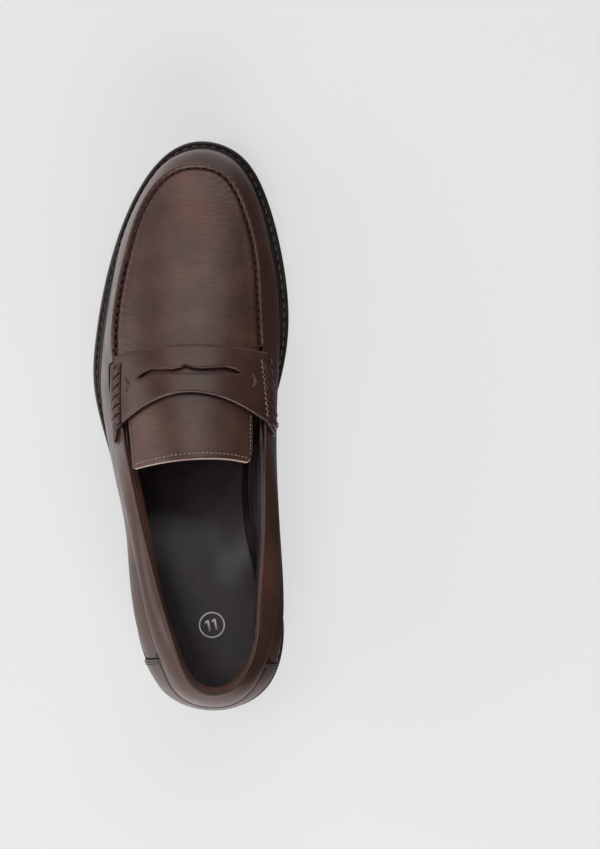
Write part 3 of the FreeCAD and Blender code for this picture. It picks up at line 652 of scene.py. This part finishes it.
def plate(name, profile, material, lift=None):
    """A solid with the sole's outline. profile runs from the underside's edge, round the side, to the
    upper side's edge."""
    rings = outline_rings(profile, RIM, lift)
    points = [p for ring in rings for p in ring]
    faces = grid_faces(len(rings), RIM, closed_columns=True, turn=-1)
    half = RIM // 2
    for ring_index, turn in ((0, -1), (len(rings) - 1, 1)):
        ring, height = rings[ring_index], profile[ring_index][2]
        base = ring_index * RIM
        lines = []
        for i in range(1, half):
            left, right = ring[i], ring[RIM - i]
            line = [base + i]
            for k in range(1, PLATE_COLUMNS):
                x, y = left[:2] + (right[:2] - left[:2]) * k / PLATE_COLUMNS
                points.append(np.array((x, y, plate_height(x, y, height, lift))))
                line.append(len(points) - 1)
            lines.append(line + [base + RIM - i])
        for near, far in zip(lines, lines[1:]):
            faces += [[near[k], far[k], far[k + 1], near[k + 1]][::turn] for k in range(PLATE_COLUMNS)]
        for tip, line, tip_turn in ((base, lines[0], turn), (base + half, lines[-1], -turn)):
            faces += [[tip, line[k], line[k + 1]][::tip_turn] for k in range(PLATE_COLUMNS)]
    return make_object(name, points, faces, material)


def band(name, profile, material):
    """A closed band round the shoe, with a closed profile."""
    rings = outline_rings(profile, RIM * 2)
    faces = grid_faces(len(rings), RIM * 2, closed_rows=True, closed_columns=True, turn=-1)
    return make_object(name, np.concatenate(rings), faces, material)


outsole_profile = [
    (0, 1.2, 0.0), (0, 0.5, 0.12), (0, 0.12, 0.5), (0, 0.0, 1.0), (0, 0.0, 2.0), (0, 0.28, 2.15),
    (0, 0.28, 2.45), (0, 0.0, 2.6), (0, 0.0, 4.3), (0, 0.1, 4.75), (0, 0.4, 4.97), (0, 0.8, 5.0)]
outsole = plate("outsole_rubber", outsole_profile, sole_rubber)
settle(outsole, "rubber_sole", "outsole")

STITCH_SHARE = 0.4
welt_profile = [
    (0, 0.9, 5.02), (0, 0.5, 5.1), (0, 0.3, 5.4), (0, 0.3, 7.3), (0, 0.42, 7.8), (0, 0.75, 8.1),
    (0, 1.1, 8.15), (STITCH_SHARE, -0.7, 8.1), (STITCH_SHARE, -0.4, 7.75), (STITCH_SHARE, 0.0, 7.6),
    (STITCH_SHARE, 0.4, 7.75), (STITCH_SHARE, 0.65, 8.3), (0.56, 0.05, 8.95), (0.63, 0.1, 9.4),
    (0.7, 0.15, 9.5), (0.77, 0.2, 9.2), (0.84, 0.2, 8.4), (0.9, 0.2, 8.15), (1.0, 1.0, 8.1),
    (0, 13.6, 8.1), (0, 13.8, 5.1), (0, 13.0, 5.02)]
welt = band("welt_strip", welt_profile, welt_rubber)
settle(welt, "welt_strip", "welt")


def welt_stitches():
    stations = np.linspace(0, STATIONS, 721)
    inset = feather_inset(stations) * STITCH_SHARE
    plan = sole_edge.at(stations) + sole_edge.inward(stations) * inset[:, None]
    points = np.column_stack((plan, floor_line(plan[:, 1]) + 7.95))
    normals = np.tile((0.0, 0.0, 1.0), (len(points), 1))
    row = stitch_row("welt_stitches", (points, normals), 5.2, 3.1, 0.42, red_thread, rise=0.1)
    settle(row, "welt_thread", "welt_thread")


welt_stitches()

HEEL_END = 3.9
BREAST_HOLLOW = 4


def heel_piece(name, node, inset, low, high, material):
    """One lift of the heel, with softened edges."""
    stations = np.linspace(HEEL_END, -HEEL_END, 121)
    edge, inward = sole_edge.at(stations), sole_edge.inward(stations)
    profile = [(0.8, low), (0.25, low + 0.1), (0.0, low + 0.45),
               (0.0, high - 0.35), (0.3, high - 0.04), (0.7, high)]
    rings = []
    for extra, height in profile:
        back = edge + inward * (inset + extra)
        start, end = back[-1], back[0]
        t = np.linspace(0, 1, 42)[1:-1]
        breast = start + (end - start) * t[:, None]
        breast[:, 1] -= 4 * BREAST_HOLLOW * t * (1 - t)
        plan = np.concatenate((back, breast))
        rings.append(np.column_stack((plan, np.full(len(plan), height))))
    count = len(rings[0])
    points = np.concatenate(rings)
    faces = grid_faces(len(rings), count, closed_columns=True)
    faces.append(list(range(count))[::-1])
    faces.append([(len(rings) - 1) * count + k for k in range(count)])
    piece = make_object(name, points, faces, material)
    settle(piece, "rubber_sole", node)


heel_piece("heel_top_piece_rubber", "heel_top_piece", 1.6, 0.0, 6.0, sole_rubber)
heel_piece("heel_lower_lift_stack", "heel_lower_lift", 1.2, 6.02, 13.18, welt_rubber)
heel_piece("heel_upper_lift_stack", "heel_upper_lift", 0.8, 13.22, 20.38, welt_rubber)


def arch(x, y):
    """The sock rises over the inner side of the waist."""
    return 5.5 * smooth((x - 12) / 22) * smooth((y + 100) / 45) * smooth((12 - y) / 40)


SOCK_LOW = 13.1
sock_profile = [(1, 5.6, SOCK_LOW), (1, 5.0, SOCK_LOW + 0.1), (1, 4.9, SOCK_LOW + 0.5),
                (1, 4.9, SOCK_LOW + 1.0), (1, 5.2, SOCK_LOW + 1.35), (1, 5.9, SOCK_LOW + 1.42)]
sock = plate("sock_liner_leather", sock_profile, sock_leather, arch)
settle(sock, "sock_leather", "sock_liner")

# ---- Upper: walls ----


STATION_LENGTH = 25.0
WALL_LENGTH = 55.0


def wall_sheet(name, node, ends, high, offsets, columns, material, slot="upper_leather", shift=None):
    """A layer of the wall, between two stations and up to the share high of its rise."""
    start, end = ends
    along = (end, start, columns, STATION_LENGTH * (end - start), (False, False))
    up = (0.0, high, 60, WALL_LENGTH * high, (False, True))
    piece = leather_sheet(name, wall, along, up, offsets, 0.6, material, shift)
    settle(piece, slot, node)


def from_heel(station):
    """The station counted from the back of the heel: positive on the outer side."""
    return np.mod(np.asarray(station, float) + STATIONS / 2, STATIONS) - STATIONS / 2


def lining_shift(station, rise):
    """The padded collar: the lining bulges inwards below the topline, then turns out under the bead."""
    collar = 1 - smooth((np.abs(from_heel(station)) - 6.3) / 1.2)
    bulge = 2.5 + 0.9 * np.clip(from_heel(station) / 2.5, -1, 1)
    hump = smooth((rise - 0.5) / 0.32) * (1 - smooth((rise - 0.9) / 0.08))
    return collar * (1.9 * smooth((rise - 0.92) / 0.06) - bulge * hump)


VAMP = (SIDE_SEAM, STATIONS - SIDE_SEAM)
OUTER_QUARTER = (0.0, SIDE_SEAM)
INNER_QUARTER = (STATIONS - SIDE_SEAM, STATIONS)
OUTER_LAYER = (-LEATHER, 0.0)
LINING_LAYER = (-3.9, -2.9)
LINING_HIGH = 0.985
wall_sheet("vamp_wall_leather", "vamp_wall", VAMP, 1.0, OUTER_LAYER, 260, upper)
wall_sheet("outer_quarter_leather", "lateral_quarter", OUTER_QUARTER, 1.0, OUTER_LAYER, 150, upper)
wall_sheet("inner_quarter_leather", "medial_quarter", INNER_QUARTER, 1.0, OUTER_LAYER, 150, upper)
for part_name, node_name, part_ends, part_columns, part_shift in (
        ("vamp_lining_leather", "vamp_lining", VAMP, 160, None),
        ("outer_quarter_lining_leather", "lateral_quarter_lining", OUTER_QUARTER, 120, lining_shift),
        ("inner_quarter_lining_leather", "medial_quarter_lining", INNER_QUARTER, 120, lining_shift)):
    wall_sheet(part_name, node_name, part_ends, LINING_HIGH, LINING_LAYER, part_columns, lining_leather,
               "lining_leather", part_shift)


def seam_rise(station):
    """How high on the wall the collar's lower seam runs: lowest on the inner waist."""
    place = from_heel(station)
    outer_dip = 0.10 * smooth((place - 3.6) / 2.2)
    inner_dip = 0.22 * smooth((-place - 2.4) / 2.2)
    heel_dip = 0.13 * (1 - smooth((np.abs(place) - 0.5) / 1.4))
    return 0.70 - np.where(place > 0, outer_dip, inner_dip) - heel_dip


def heel_overlay():
    """The counter's leather, its two rows of stitches at each front edge, and a dark tube on each front
    edge: its cut edge and the painted shadow under the edge's step.
    """
    columns = (OVERLAY_END, -OVERLAY_END, 110, 110.0, (True, True))
    rows = (0.0, 0.73, 48, 38.0, (False, False))
    piece = leather_sheet("heel_overlay_leather", on_overlay, columns, rows, (0.05, 1.35), 0.7, upper)
    settle(piece, "upper_leather", "heel_overlay")
    rise = np.linspace(0.06, 0.7, 60)
    for side, word in ((-1, "inner"), (1, "outer")):
        for row, gap in enumerate((0.055, 0.115)):
            path = surface_path(on_overlay, side * (OVERLAY_END - gap), rise, 1.35)
            stitches = stitch_row("overlay_stitches_%s_%d" % (word, row + 1), path, 2.3, 1.6, 0.34,
                                  dark_thread, rise=0.12)
            nodes = ["overlay_thread"] if (word, row) == ("outer", 0) else []
            settle(stitches, "thread", *nodes)
        # A dark tube on the front edge: the inked cut edge, with the shadow under its step painted in.
        path = surface_path(on_overlay, side * (OVERLAY_END + 0.012), rise, 0.35)
        edge = tube("overlay_edge_and_shadow_" + word, path, (0.4, 0.4), dark_edge_and_shade, 8)
        settle(edge, "upper_leather")


heel_overlay()


def collar():
    """The padded roll round the opening, a dark tube on the seam under it that paints the shade in that
    seam, and the piped bead on the topline.
    """
    section = [(0.06, -0.3), (-0.005, -0.2), (-0.01, 0.35), (0.01, 0.75), (0.06, 1.15), (0.16, 1.6),
               (0.3, 1.95), (0.48, 2.1), (0.66, 1.85), (0.82, 1.2), (0.93, 0.5), (1.0, 0.05), (1.0, -0.8),
               (0.8, -0.8)]
    stations = np.linspace(COLLAR_START + 0.6, -COLLAR_START - 0.6, 380)
    low = seam_rise(stations)
    fade = 0.1 + 0.9 * smooth((COLLAR_START + 0.3 - np.abs(stations)) / 1.6)
    rows = []
    for share, distance in section:
        out = distance * fade if distance > 0 else np.full(stations.shape, distance)
        rows.append(offset_points(wall, stations, low + (1 - low) * share, out))
    points = np.stack(rows, axis=1).reshape(-1, 3)
    count = len(section)
    faces = grid_faces(len(stations), count, closed_columns=True)
    faces.append(list(range(count))[::-1])
    faces.append(list(range(len(points) - count, len(points))))
    piece = make_object("collar_roll", points, faces, upper, sharp=70)
    settle(piece, "upper_leather", "collar_band")
    # Painted shade: a dark tube along the roll's lower seam.
    over = 1.25 * smooth((OVERLAY_END - np.abs(stations)) / 0.06)
    path = surface_path(wall, stations, low - 0.014, 0.1 + over)
    seam = tube("collar_seam_shade", path, np.outer(fade, (0.35, 0.25)), dark_edge_and_shade, 8)
    settle(seam, "upper_leather")
    path = surface_path(wall, stations, 1.0, -0.7)
    bead = tube("topline_piping", path, (0.95, 0.95), upper, 14)
    settle(bead, "upper_leather", "topline_binding")


collar()


def arch_shade_cover():
    """The sock leather carried up over the lining of the inner waist nearly to the topline: a dark sheet
    that paints the shade on that inner wall.
    """
    def rounded(station, rise):
        ends = smooth((station - 20.4) / 0.9) * (1 - smooth((station - 24.6) / 1.2))
        return lining_shift(station, rise) - 0.25 + 1.4 * (1 - ends)
    # Painted shade: dark sock leather laid over the inner lining.
    piece = leather_sheet("arch_shade_cover_leather", wall, (26.0, 20.4, 80, 110.0, (False, False)),
                          (0.02, 0.975, 70, 52.0, (False, True)), (-4.9, -4.0), 0.4, sock_leather, rounded)
    settle(piece, "sock_leather")


arch_shade_cover()

# ---- Upper: apron ----

APRON_START = 8.3
SEAM_PITCH = 4.4
GROOVE = 2.3
SPINE_END_Y = 118.0


def seam_arc(stations):
    plan = top_edge.at(stations)[:, :2]
    return np.concatenate(([0.0], np.cumsum(np.linalg.norm(np.diff(plan, axis=0), axis=1))))


def apron():
    """The plug: rows from the seam inwards to a spine, puckered by its hand-sewn edge."""
    stations = np.linspace(APRON_START, STATIONS - APRON_START, 521)
    arc = seam_arc(stations)
    seam = top_edge.at(stations)[:, :2] + top_edge.inward(stations) * GROOVE
    spine_y = np.minimum(seam[:, 1], SPINE_END_Y)
    spine = np.column_stack((-1.3 + 0.0009 * (spine_y - 50) ** 2, spine_y))
    gap = np.linalg.norm(spine - seam, axis=1)
    depths = [0.0, 0.1, 0.3, 0.6, 1.0, 1.5, 2.1, 3.0, 4.2, 6.0]
    shares = [0.25, 0.36, 0.48, 0.6, 0.72, 0.84, 0.93, 1.0]
    rows, offsets = [], []
    pucker = 0.5 + 0.5 * np.cos(2 * math.pi * arc / SEAM_PITCH)
    for depth in depths:
        rows.append(seam + (spine - seam) * (depth / gap)[:, None])
        edge = max(0.0, 1 - depth / 1.5)
        drop = 1.5 * (1 - math.sqrt(1 - edge ** 2))
        swell = 0.35 * math.exp(-((depth - 2.2) / 1.6) ** 2)
        offsets.append(swell - drop - 0.3 * (1 - pucker) * math.exp(-depth / 2.2))
    for share in shares:
        start = depths[-1] / gap
        part = start + (1 - start) * (share - 0.2) / 0.8
        rows.append(seam + (spine - seam) * part[:, None])
        offsets.append(np.zeros(len(stations)))
    plan = np.stack(rows, axis=0)
    top = offset_points(on_instep, plan[..., 0], plan[..., 1], np.stack(offsets, axis=0))
    bottom = offset_points(on_instep, plan[..., 0], plan[..., 1], np.full(plan.shape[:2], -LEATHER))
    points = np.concatenate((top.reshape(-1, 3), bottom.reshape(-1, 3)))
    depth_count, columns = plan.shape[:2]
    half = depth_count * columns
    faces = grid_faces(depth_count, columns, turn=-1) + grid_faces(depth_count, columns, half)
    faces += [[j, j + 1, j + 1 + half, j + half] for j in range(columns - 1)]
    for here in range(0, half - columns, columns):
        for corner, turn in ((here, 1), (here + columns - 1, -1)):
            after = corner + columns
            faces.append([corner, corner + half, after + half, after][::turn])
    piece = make_object("apron_plug", points, faces, apron_leather)
    merge = piece.modifiers.new("weld", "WELD")
    merge.merge_threshold = 0.00002
    settle(piece, "upper_leather", "apron")


apron()


def apron_ridge():
    """The raised seam: the wall's edge turned up and drawn in at each stitch."""
    stations = np.linspace(APRON_START + 0.6, STATIONS - APRON_START - 0.6, 900)
    edge, inward = top_edge.at(stations)[:, :2], top_edge.inward(stations)
    ridge, thread_line = edge + inward * 0.85, edge + inward * 2.2
    path = surface_path(on_instep, ridge[:, 0], ridge[:, 1], 0.2)
    swell = 0.5 + 0.5 * np.cos(2 * math.pi * seam_arc(stations) / SEAM_PITCH)
    radii = np.column_stack((1.2 + 0.1 * swell, 1.15 + 0.18 * swell))
    settle(tube("apron_ridge", path, radii, upper, 14), "upper_leather")
    path = surface_path(on_instep, thread_line[:, 0], thread_line[:, 1], 0.0)
    row = stitch_row("apron_stitches", path, SEAM_PITCH, 2.9, 0.33, brown_thread, rise=0.15,
                     slant=0.12)
    settle(row, "thread", "apron_thread")


apron_ridge()

# ---- Upper: strap ----

SLOT_LOW = [(-27.5, 24.5), (-20, 26.3), (-10, 26.9), (0, 27.2), (14, 27.2), (26.9, 27.2)]
SLOT_HIGH = [(-27.5, 24.5), (-24, 27.6), (-21, 29.0), (-15, 29.1), (-9, 29.2), (-5, 30.0), (-2, 31.5),
             (1, 30.3), (6, 29.5), (12, 29.9), (18.8, 30.5), (23, 29.4), (26.9, 27.2)]
STRAP_ROUND = 1.1


def round_drop(depth):
    """How far the strap's rounded edge lies below its face, at a depth in from the edge."""
    return STRAP_ROUND * (1 - np.sqrt(1 - np.clip(1 - depth / STRAP_ROUND, 0, 1) ** 2))


def strap():
    """The saddle: a rear and a front strip, joined beyond the slot's two tips. Each strip's two edges
    are rounded by a share from 0, where the strips join, to 1."""
    columns = np.unique(np.concatenate((np.linspace(STRAP_LATERAL_X, STRAP_MEDIAL_X, 141),
                                        np.linspace(-28.5, 28, 114))))
    count = len(columns)
    slot_low, slot_high = (np.interp(columns, *zip(*edge)) for edge in (SLOT_LOW, SLOT_HIGH))
    inside = (columns > SLOT_LOW[0][0]) & (columns < SLOT_LOW[-1][0])
    slot_high = np.where(inside, slot_high, slot_low)
    open_share = smooth((slot_high - slot_low) / 1.2)
    whole_share = np.ones(count)
    steps = [0.0, 0.08, 0.3, 0.65, STRAP_ROUND]
    strips = ((strap_rear(columns), whole_share, slot_low, open_share),
              (slot_high, open_share, strap_front(columns), whole_share))
    points, faces = [], []
    for back, back_round, front, front_round in strips:
        rows = [back + step * back_round for step in steps]
        drops = [round_drop(step) * back_round for step in steps]
        start, end = rows[-1], front - STRAP_ROUND * front_round
        rows += [start + (end - start) * k / 9 for k in range(1, 9)]
        drops += [np.zeros(count)] * 8
        rows += [front - step * front_round for step in reversed(steps)]
        drops += [round_drop(step) * front_round for step in reversed(steps)]
        y = np.stack(rows, axis=0)
        x = np.broadcast_to(columns, y.shape)
        side_drop = round_drop(np.minimum(columns - columns[0], columns[-1] - columns))
        whole = (y - strap_rear(x)) / (strap_front(x) - strap_rear(x))
        crown = 0.35 * np.sin(math.pi * np.clip(whole, 0, 1))
        top = offset_points(on_strap, x, y, STRAP_HIGH + crown - np.stack(drops, axis=0) - side_drop)
        bottom = offset_points(on_strap, x, y, np.full(y.shape, STRAP_LOW))
        base = len(points)
        half = top.shape[0] * count
        points += list(top.reshape(-1, 3)) + list(bottom.reshape(-1, 3))
        faces += grid_faces(top.shape[0], count, base, turn=-1)
        faces += grid_faces(top.shape[0], count, base + half)
        for row, share, turn in ((0, back_round, -1), (top.shape[0] - 1, front_round, 1)):
            for j in range(count - 1):
                if share[j] > 0 or share[j + 1] > 0:
                    here = base + row * count + j
                    faces.append([here, here + 1, here + 1 + half, here + half][::turn])
        for column, turn in ((0, 1), (count - 1, -1)):
            for i in range(top.shape[0] - 1):
                here = base + i * count + column
                faces.append([here, here + count, here + count + half, here + half][::turn])
    piece = make_object("saddle_strap_leather", points, faces, upper)
    merge = piece.modifiers.new("weld", "WELD")
    merge.merge_threshold = 0.00001
    settle(piece, "upper_leather", "saddle_strap")


strap()

WRAPS = 6
WRAP_PITCH = 5.4
WRAP_SPAN = 3.7
WRAP_LENGTH = 4.7
FIRST_WRAP_Y = -2.8
OUTER_ROLL_X = -37.4


def outer_roll_x(y):
    return np.full(np.shape(y), OUTER_ROLL_X)


def inner_roll_x(y):
    return 38.9 + 0.095 * (34 - y)


def lacing(word, node, centre, lean, height):
    """The braided roll at the strap's end: six slanting pillows, each a turn of the cord."""
    verts, faces = [], []
    steps = np.linspace(0, 1, 17)
    across, along = np.meshgrid(steps, steps, indexing="ij")
    dome = (1 - np.abs(2 * across - 1) ** 2.2) * (1 - np.abs(2 * along - 1) ** 2.6)
    for turn in range(WRAPS):
        start = FIRST_WRAP_Y + WRAP_PITCH * turn

        def pillow(across, along, start=start):
            y = start + abs(lean) / 2 + lean * (across - 0.5) + WRAP_LENGTH * along
            return on_bed(centre(start) + WRAP_SPAN * (across - 0.5), y)
        top = offset_points(pillow, across, along, STRAP_HIGH - 0.1 + height * np.sqrt(dome))
        bottom = offset_points(pillow, across, along, np.full(dome.shape, STRAP_HIGH - 0.4))
        pillow_points, pillow_faces = closed_sheet(top, bottom, len(verts))
        verts += pillow_points
        faces += pillow_faces
    roll = make_object("%s_strap_roll" % word, verts, faces, upper, sharp=80)
    settle(roll, "thread", node)


BED_SPAN = WRAP_SPAN + 0.9


def roll_bed(word, centre, lean, height, material):
    """The strip under a roll, seen between its turns."""
    def bed(across, y):
        return on_bed(centre(y) + BED_SPAN * (across - 0.5), y + lean * (across - 0.5))
    strip = leather_sheet("%s_roll_groove" % word, bed, (0.0, 1.0, 12, BED_SPAN, (True, True)),
                          (-0.6, 32.0, 60, 32.0, (True, True)), (0.3, STRAP_HIGH + height), 0.5, material)
    settle(strip, "upper_leather")


lacing("outer", "lateral_lacing", outer_roll_x, 4.4, 1.9)
lacing("inner", "medial_lacing", inner_roll_x, -4.4, 1.0)
# The outer roll's bed is near-black: seen between the turns, it paints the shade in the gaps.
roll_bed("outer", outer_roll_x, 2.2, 0.45, dark_edge_and_shade)
roll_bed("inner", inner_roll_x, -2.2, 0.35, upper)


def flange():
    """The outer end of the strap, laid on the wall beside the braided roll."""
    def surface(across, y):
        edge = -41.8 + 0.0026 * (y - 30) ** 2
        return on_bed(edge + (-38.0 - edge) * across, y)
    piece = leather_sheet("outer_strap_flange", surface, (0.0, 1.0, 10, 3.4, (True, False)),
                          (-4.0, 33.0, 60, 37.0, (True, True)), (0.2, 2.1), 0.5, upper)
    settle(piece, "upper_leather")
    turn = np.linspace(0, math.pi / 2, 8)
    across = np.concatenate((np.linspace(1.0, 0.45, 6), 0.4 - 0.4 * np.sin(turn), np.zeros(60)))
    y = np.concatenate((np.full(6, 33.2), 31.7 + 1.5 * np.cos(turn), np.linspace(31.2, -4.0, 60)))
    path = surface_path(surface, across, y, 2.0)
    settle(tube("outer_flange_edge", path, (0.4, 0.5), dark_edge_and_shade, 8), "upper_leather")


flange()


def roll_threads():
    """The sewing thread beside the roll on the inner side: a zigzag row of light thread, its lightness
    partly a painted glint, and a few long stitches.
    """
    y = np.linspace(4.0, 35.0, 23)
    x = inner_roll_x(y) - 2.1 + 0.55 * np.where(np.arange(len(y)) % 2 == 0, 1, -1)
    steps = np.linspace(0, len(y) - 1, 12 * (len(y) - 1) + 1)
    swell = np.sin(math.pi * np.mod(steps, 1.0)) ** 2
    fine_x, fine_y = np.interp(steps, np.arange(len(y)), x), np.interp(steps, np.arange(len(y)), y)
    path = offset_points(on_bed, fine_x, fine_y, STRAP_HIGH + 0.1 + 0.5 * swell)
    normals = np.tile((0.3, 0.0, 1.0), (len(path), 1))
    settle(tube("inner_zigzag_thread", (path, normals), (0.2, 0.2), light_thread_and_glint, 6), "thread")
    y = np.linspace(0.0, 34.0, 40)
    path = surface_path(on_bed, inner_roll_x(y) + 2.35, y, STRAP_HIGH + 0.1)
    row = stitch_row("inner_roll_stitches", path, WRAP_PITCH, 3.4, 0.26, red_thread, rise=0.2)
    settle(row, "thread")


roll_threads()


def strap_edges():
    """The strap's dark inked rear edge, standing a little proud of it, so that it also paints the thin
    shadow under the strap.
    """
    # Dark tube on the rear edge: inked edge and painted shadow under the strap.
    x = np.linspace(STRAP_LATERAL_X + 0.5, STRAP_MEDIAL_X - 0.5, 200)
    path = surface_path(on_strap, x, strap_rear(x) + 0.15, 1.05)
    settle(tube("strap_rear_edge_and_shadow", path, (0.4, 0.75), dark_edge_and_shade, 10), "upper_leather")


strap_edges()

# ---- Tongue ----


def tongue():
    """The tongue's leather, its raw free edge and its rows of stitches."""
    columns = (TONGUE_LATERAL_X, TONGUE_MEDIAL_X, 90, 66.0, (True, True))
    rows = (0.0, 1.0, 60, 40.0, (True, False))
    piece = leather_sheet("tongue_leather", on_tongue, columns, rows, (-2.0, 0.0), 0.7, apron_leather)
    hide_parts("tongue")
    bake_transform(piece)
    x = np.linspace(TONGUE_LATERAL_X + 1.5, TONGUE_MEDIAL_X - 1.5, 90)
    path = surface_path(on_tongue, x, -0.006, -0.75)
    raw_edge = tube("tongue_raw_edge", path, (0.42, 0.65), raw_leather, 8)
    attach(raw_edge, "tongue")
    side = np.linspace(0.1, 0.72, 40)
    # The light thread of the rear and inner rows is partly a painted glint.
    rows = (("rear", np.linspace(TONGUE_LATERAL_X + 3, TONGUE_MEDIAL_X - 4, 60), 0.06, light_thread_and_glint),
            ("outer", TONGUE_LATERAL_X + 1.6, side, brown_thread),
            ("inner", TONGUE_MEDIAL_X - 1.6, side, light_thread_and_glint))
    for word, x, along, thread in rows:
        path = surface_path(on_tongue, x, along, 0.0)
        row = stitch_row("tongue_stitches_" + word, path, 2.4, 1.6, 0.22, thread, rise=0.12)
        if word == "rear":
            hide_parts("tongue_thread")
        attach(row, "tongue")


tongue()


def bar_tack(word, x, low, thread, *nodes):
    """A small crescent of close stitches beside the slot's end, on a low pad."""
    y = np.linspace(low, low + 6.5, 24)
    t = (y - y[0]) / (y[-1] - y[0])
    points, normals = surface_path(on_bed, x + 1.4 * np.sin(math.pi * t), y, STRAP_HIGH + 0.25)
    width = 0.15 + np.sqrt(np.sin(math.pi * np.clip(t, 0.001, 0.999)))
    pad = tube(word + "_tack_pad", (points, normals), np.outer(width, (1.05, 0.45)), upper, 10)
    settle(pad, "thread")
    row = stitch_row(word + "_bar_tack", (points + normals * 0.4, normals), 1.1, 1.5, 0.3, thread,
                     rise=0.1, slant=1.2)
    settle(row, "thread", *nodes)


bar_tack("outer", -32.8, 17.6, brown_thread, "bar_tacks")
bar_tack("inner", 32.0, 19.8, red_thread)

# ---- Size mark on the sock liner: a ring and the number 11 ----


MARK_X = 11.4
MARK_Y = -108.0
MARK_TILT = math.radians(11)


def size_mark():
    """A flat ring and two figures, printed just above the sock leather."""
    height = HEEL_HEIGHT + SOCK_LOW + 1.47
    points, faces = [], []
    steps = 72
    for radius in (6.3, 7.05):
        for k in range(steps):
            angle = 2 * math.pi * k / steps
            points.append((MARK_X + radius * math.cos(angle), MARK_Y + radius * math.sin(angle), height))
    for k in range(steps):
        after = (k + 1) % steps
        faces.append([k, after, steps + after, steps + k])
    tilt_cos, tilt_sin = math.cos(MARK_TILT), math.sin(MARK_TILT)
    strokes = [[(-0.55, -3.0), (0.55, -3.0), (0.55, 3.0), (-0.45, 3.0), (-0.55, 2.85)],
               [(-0.55, 2.95), (-1.8, 2.3), (-1.8, 1.2), (-0.55, 1.8)]]
    for shift in (-1.7, 2.0):
        for stroke in strokes:
            base = len(points)
            for x, y in stroke:
                x += shift
                points.append((MARK_X + x * tilt_cos - y * tilt_sin, MARK_Y + x * tilt_sin + y * tilt_cos,
                               height))
            faces.append(list(range(base, base + len(stroke))))
    piece = make_object("size_mark", points, faces, white_print)
    body = piece.modifiers.new("thickness", "SOLIDIFY")
    body.thickness = 0.00012
    settle(piece, "sock_leather")


size_mark()

# ---- Stage ----

VIEW_HEIGHT = 0.461856  # metres of floor from the top of the view to its bottom
SENSOR_HEIGHT = 24
CAMERA_HEIGHT = 5.0
CAMERA_X = 0.059
CAMERA_Y = 0.0003
FLOOR_GLOW = 0.56


def area_light(name, place, aim, width, depth, power):
    light = bpy.data.lights.new(name, "AREA")
    light.shape = "RECTANGLE"
    light.size, light.size_y = width, depth
    light.energy = power
    piece = bpy.data.objects.new(name, light)
    piece.location = place
    direction = (np.array(aim) - np.array(place)).tolist()
    piece.rotation_euler = Vector(direction).to_track_quat("-Z", "Y").to_euler()
    bpy.context.collection.objects.link(piece)


def math_of(nodes, links, operation, *values):
    node = nodes.new("ShaderNodeMath")
    node.operation = operation
    for socket, value in zip(node.inputs, values):
        links.new(value, socket)
    return node.outputs["Value"]


def studio_world():
    """White surroundings low on the left, front and back, greyer higher up and dark on the right."""
    world = bpy.data.worlds.new("studio")
    world.use_nodes = True
    nodes, links = world.node_tree.nodes, world.node_tree.links
    direction = nodes.new("ShaderNodeTexCoord").outputs["Generated"]
    parts = nodes.new("ShaderNodeSeparateXYZ")
    links.new(direction, parts.inputs["Vector"])
    along = math_of(nodes, links, "ABSOLUTE", parts.outputs["Y"])
    away = math_of(nodes, links, "SUBTRACT", along, parts.outputs["X"])
    side = ranged(nodes, links, away, (-0.35, 0.4), (0.03, 1.0))
    low = ranged(nodes, links, parts.outputs["Z"], (-0.05, 0.5), (0.95, 0.2))
    strength = math_of(nodes, links, "MULTIPLY", side, low)
    links.new(strength, nodes["Background"].inputs["Strength"])
    nodes["Background"].inputs["Color"].default_value = (1, 1, 1, 1)
    return world


def stage():
    """The floor, the surroundings, four lamps and the camera straight above."""
    floor_material, _, _, shader, _ = new_material("floor_paper")
    shader.inputs["Base Color"].default_value = rgb(128, 128, 128)
    shader.inputs["Roughness"].default_value = 0.9
    shader.inputs["Specular IOR Level"].default_value = 0.0
    shader.inputs["Emission Color"].default_value = (1, 1, 1, 1)
    shader.inputs["Emission Strength"].default_value = FLOOR_GLOW
    bpy.ops.mesh.primitive_plane_add(size=12, location=(0, 0, -0.0002))
    floor = bpy.context.object
    floor.name = "floor"
    floor.data.materials.append(floor_material)
    floor.visible_glossy = False
    bpy.context.scene.world = studio_world()
    area_light("left", (-1.7, 0.0, 0.8), (0, 0, 0.04), 1.7, 0.9, 12)
    area_light("back", (0.15, -1.6, 0.95), (0, -0.1, 0.04), 1.7, 0.8, 34)
    area_light("front", (0.2, 1.35, 1.7), (0, 0, 0.04), 2.2, 1.2, 18)
    area_light("top", (-0.62, -0.1, 1.6), (0, -0.05, 0.04), 0.5, 0.6, 4.5)
    bpy.context.scene.view_settings.view_transform = "Standard"
    camera = bpy.data.cameras.new("camera")
    camera.sensor_fit = "VERTICAL"
    camera.sensor_height = SENSOR_HEIGHT
    camera.lens = SENSOR_HEIGHT * CAMERA_HEIGHT / VIEW_HEIGHT
    camera.clip_end = 50
    view = bpy.data.objects.new("camera", camera)
    view.location = (CAMERA_X, CAMERA_Y, CAMERA_HEIGHT)
    view.rotation_euler = (0, 0, 0)
    bpy.context.collection.objects.link(view)
    bpy.context.scene.camera = view


stage()
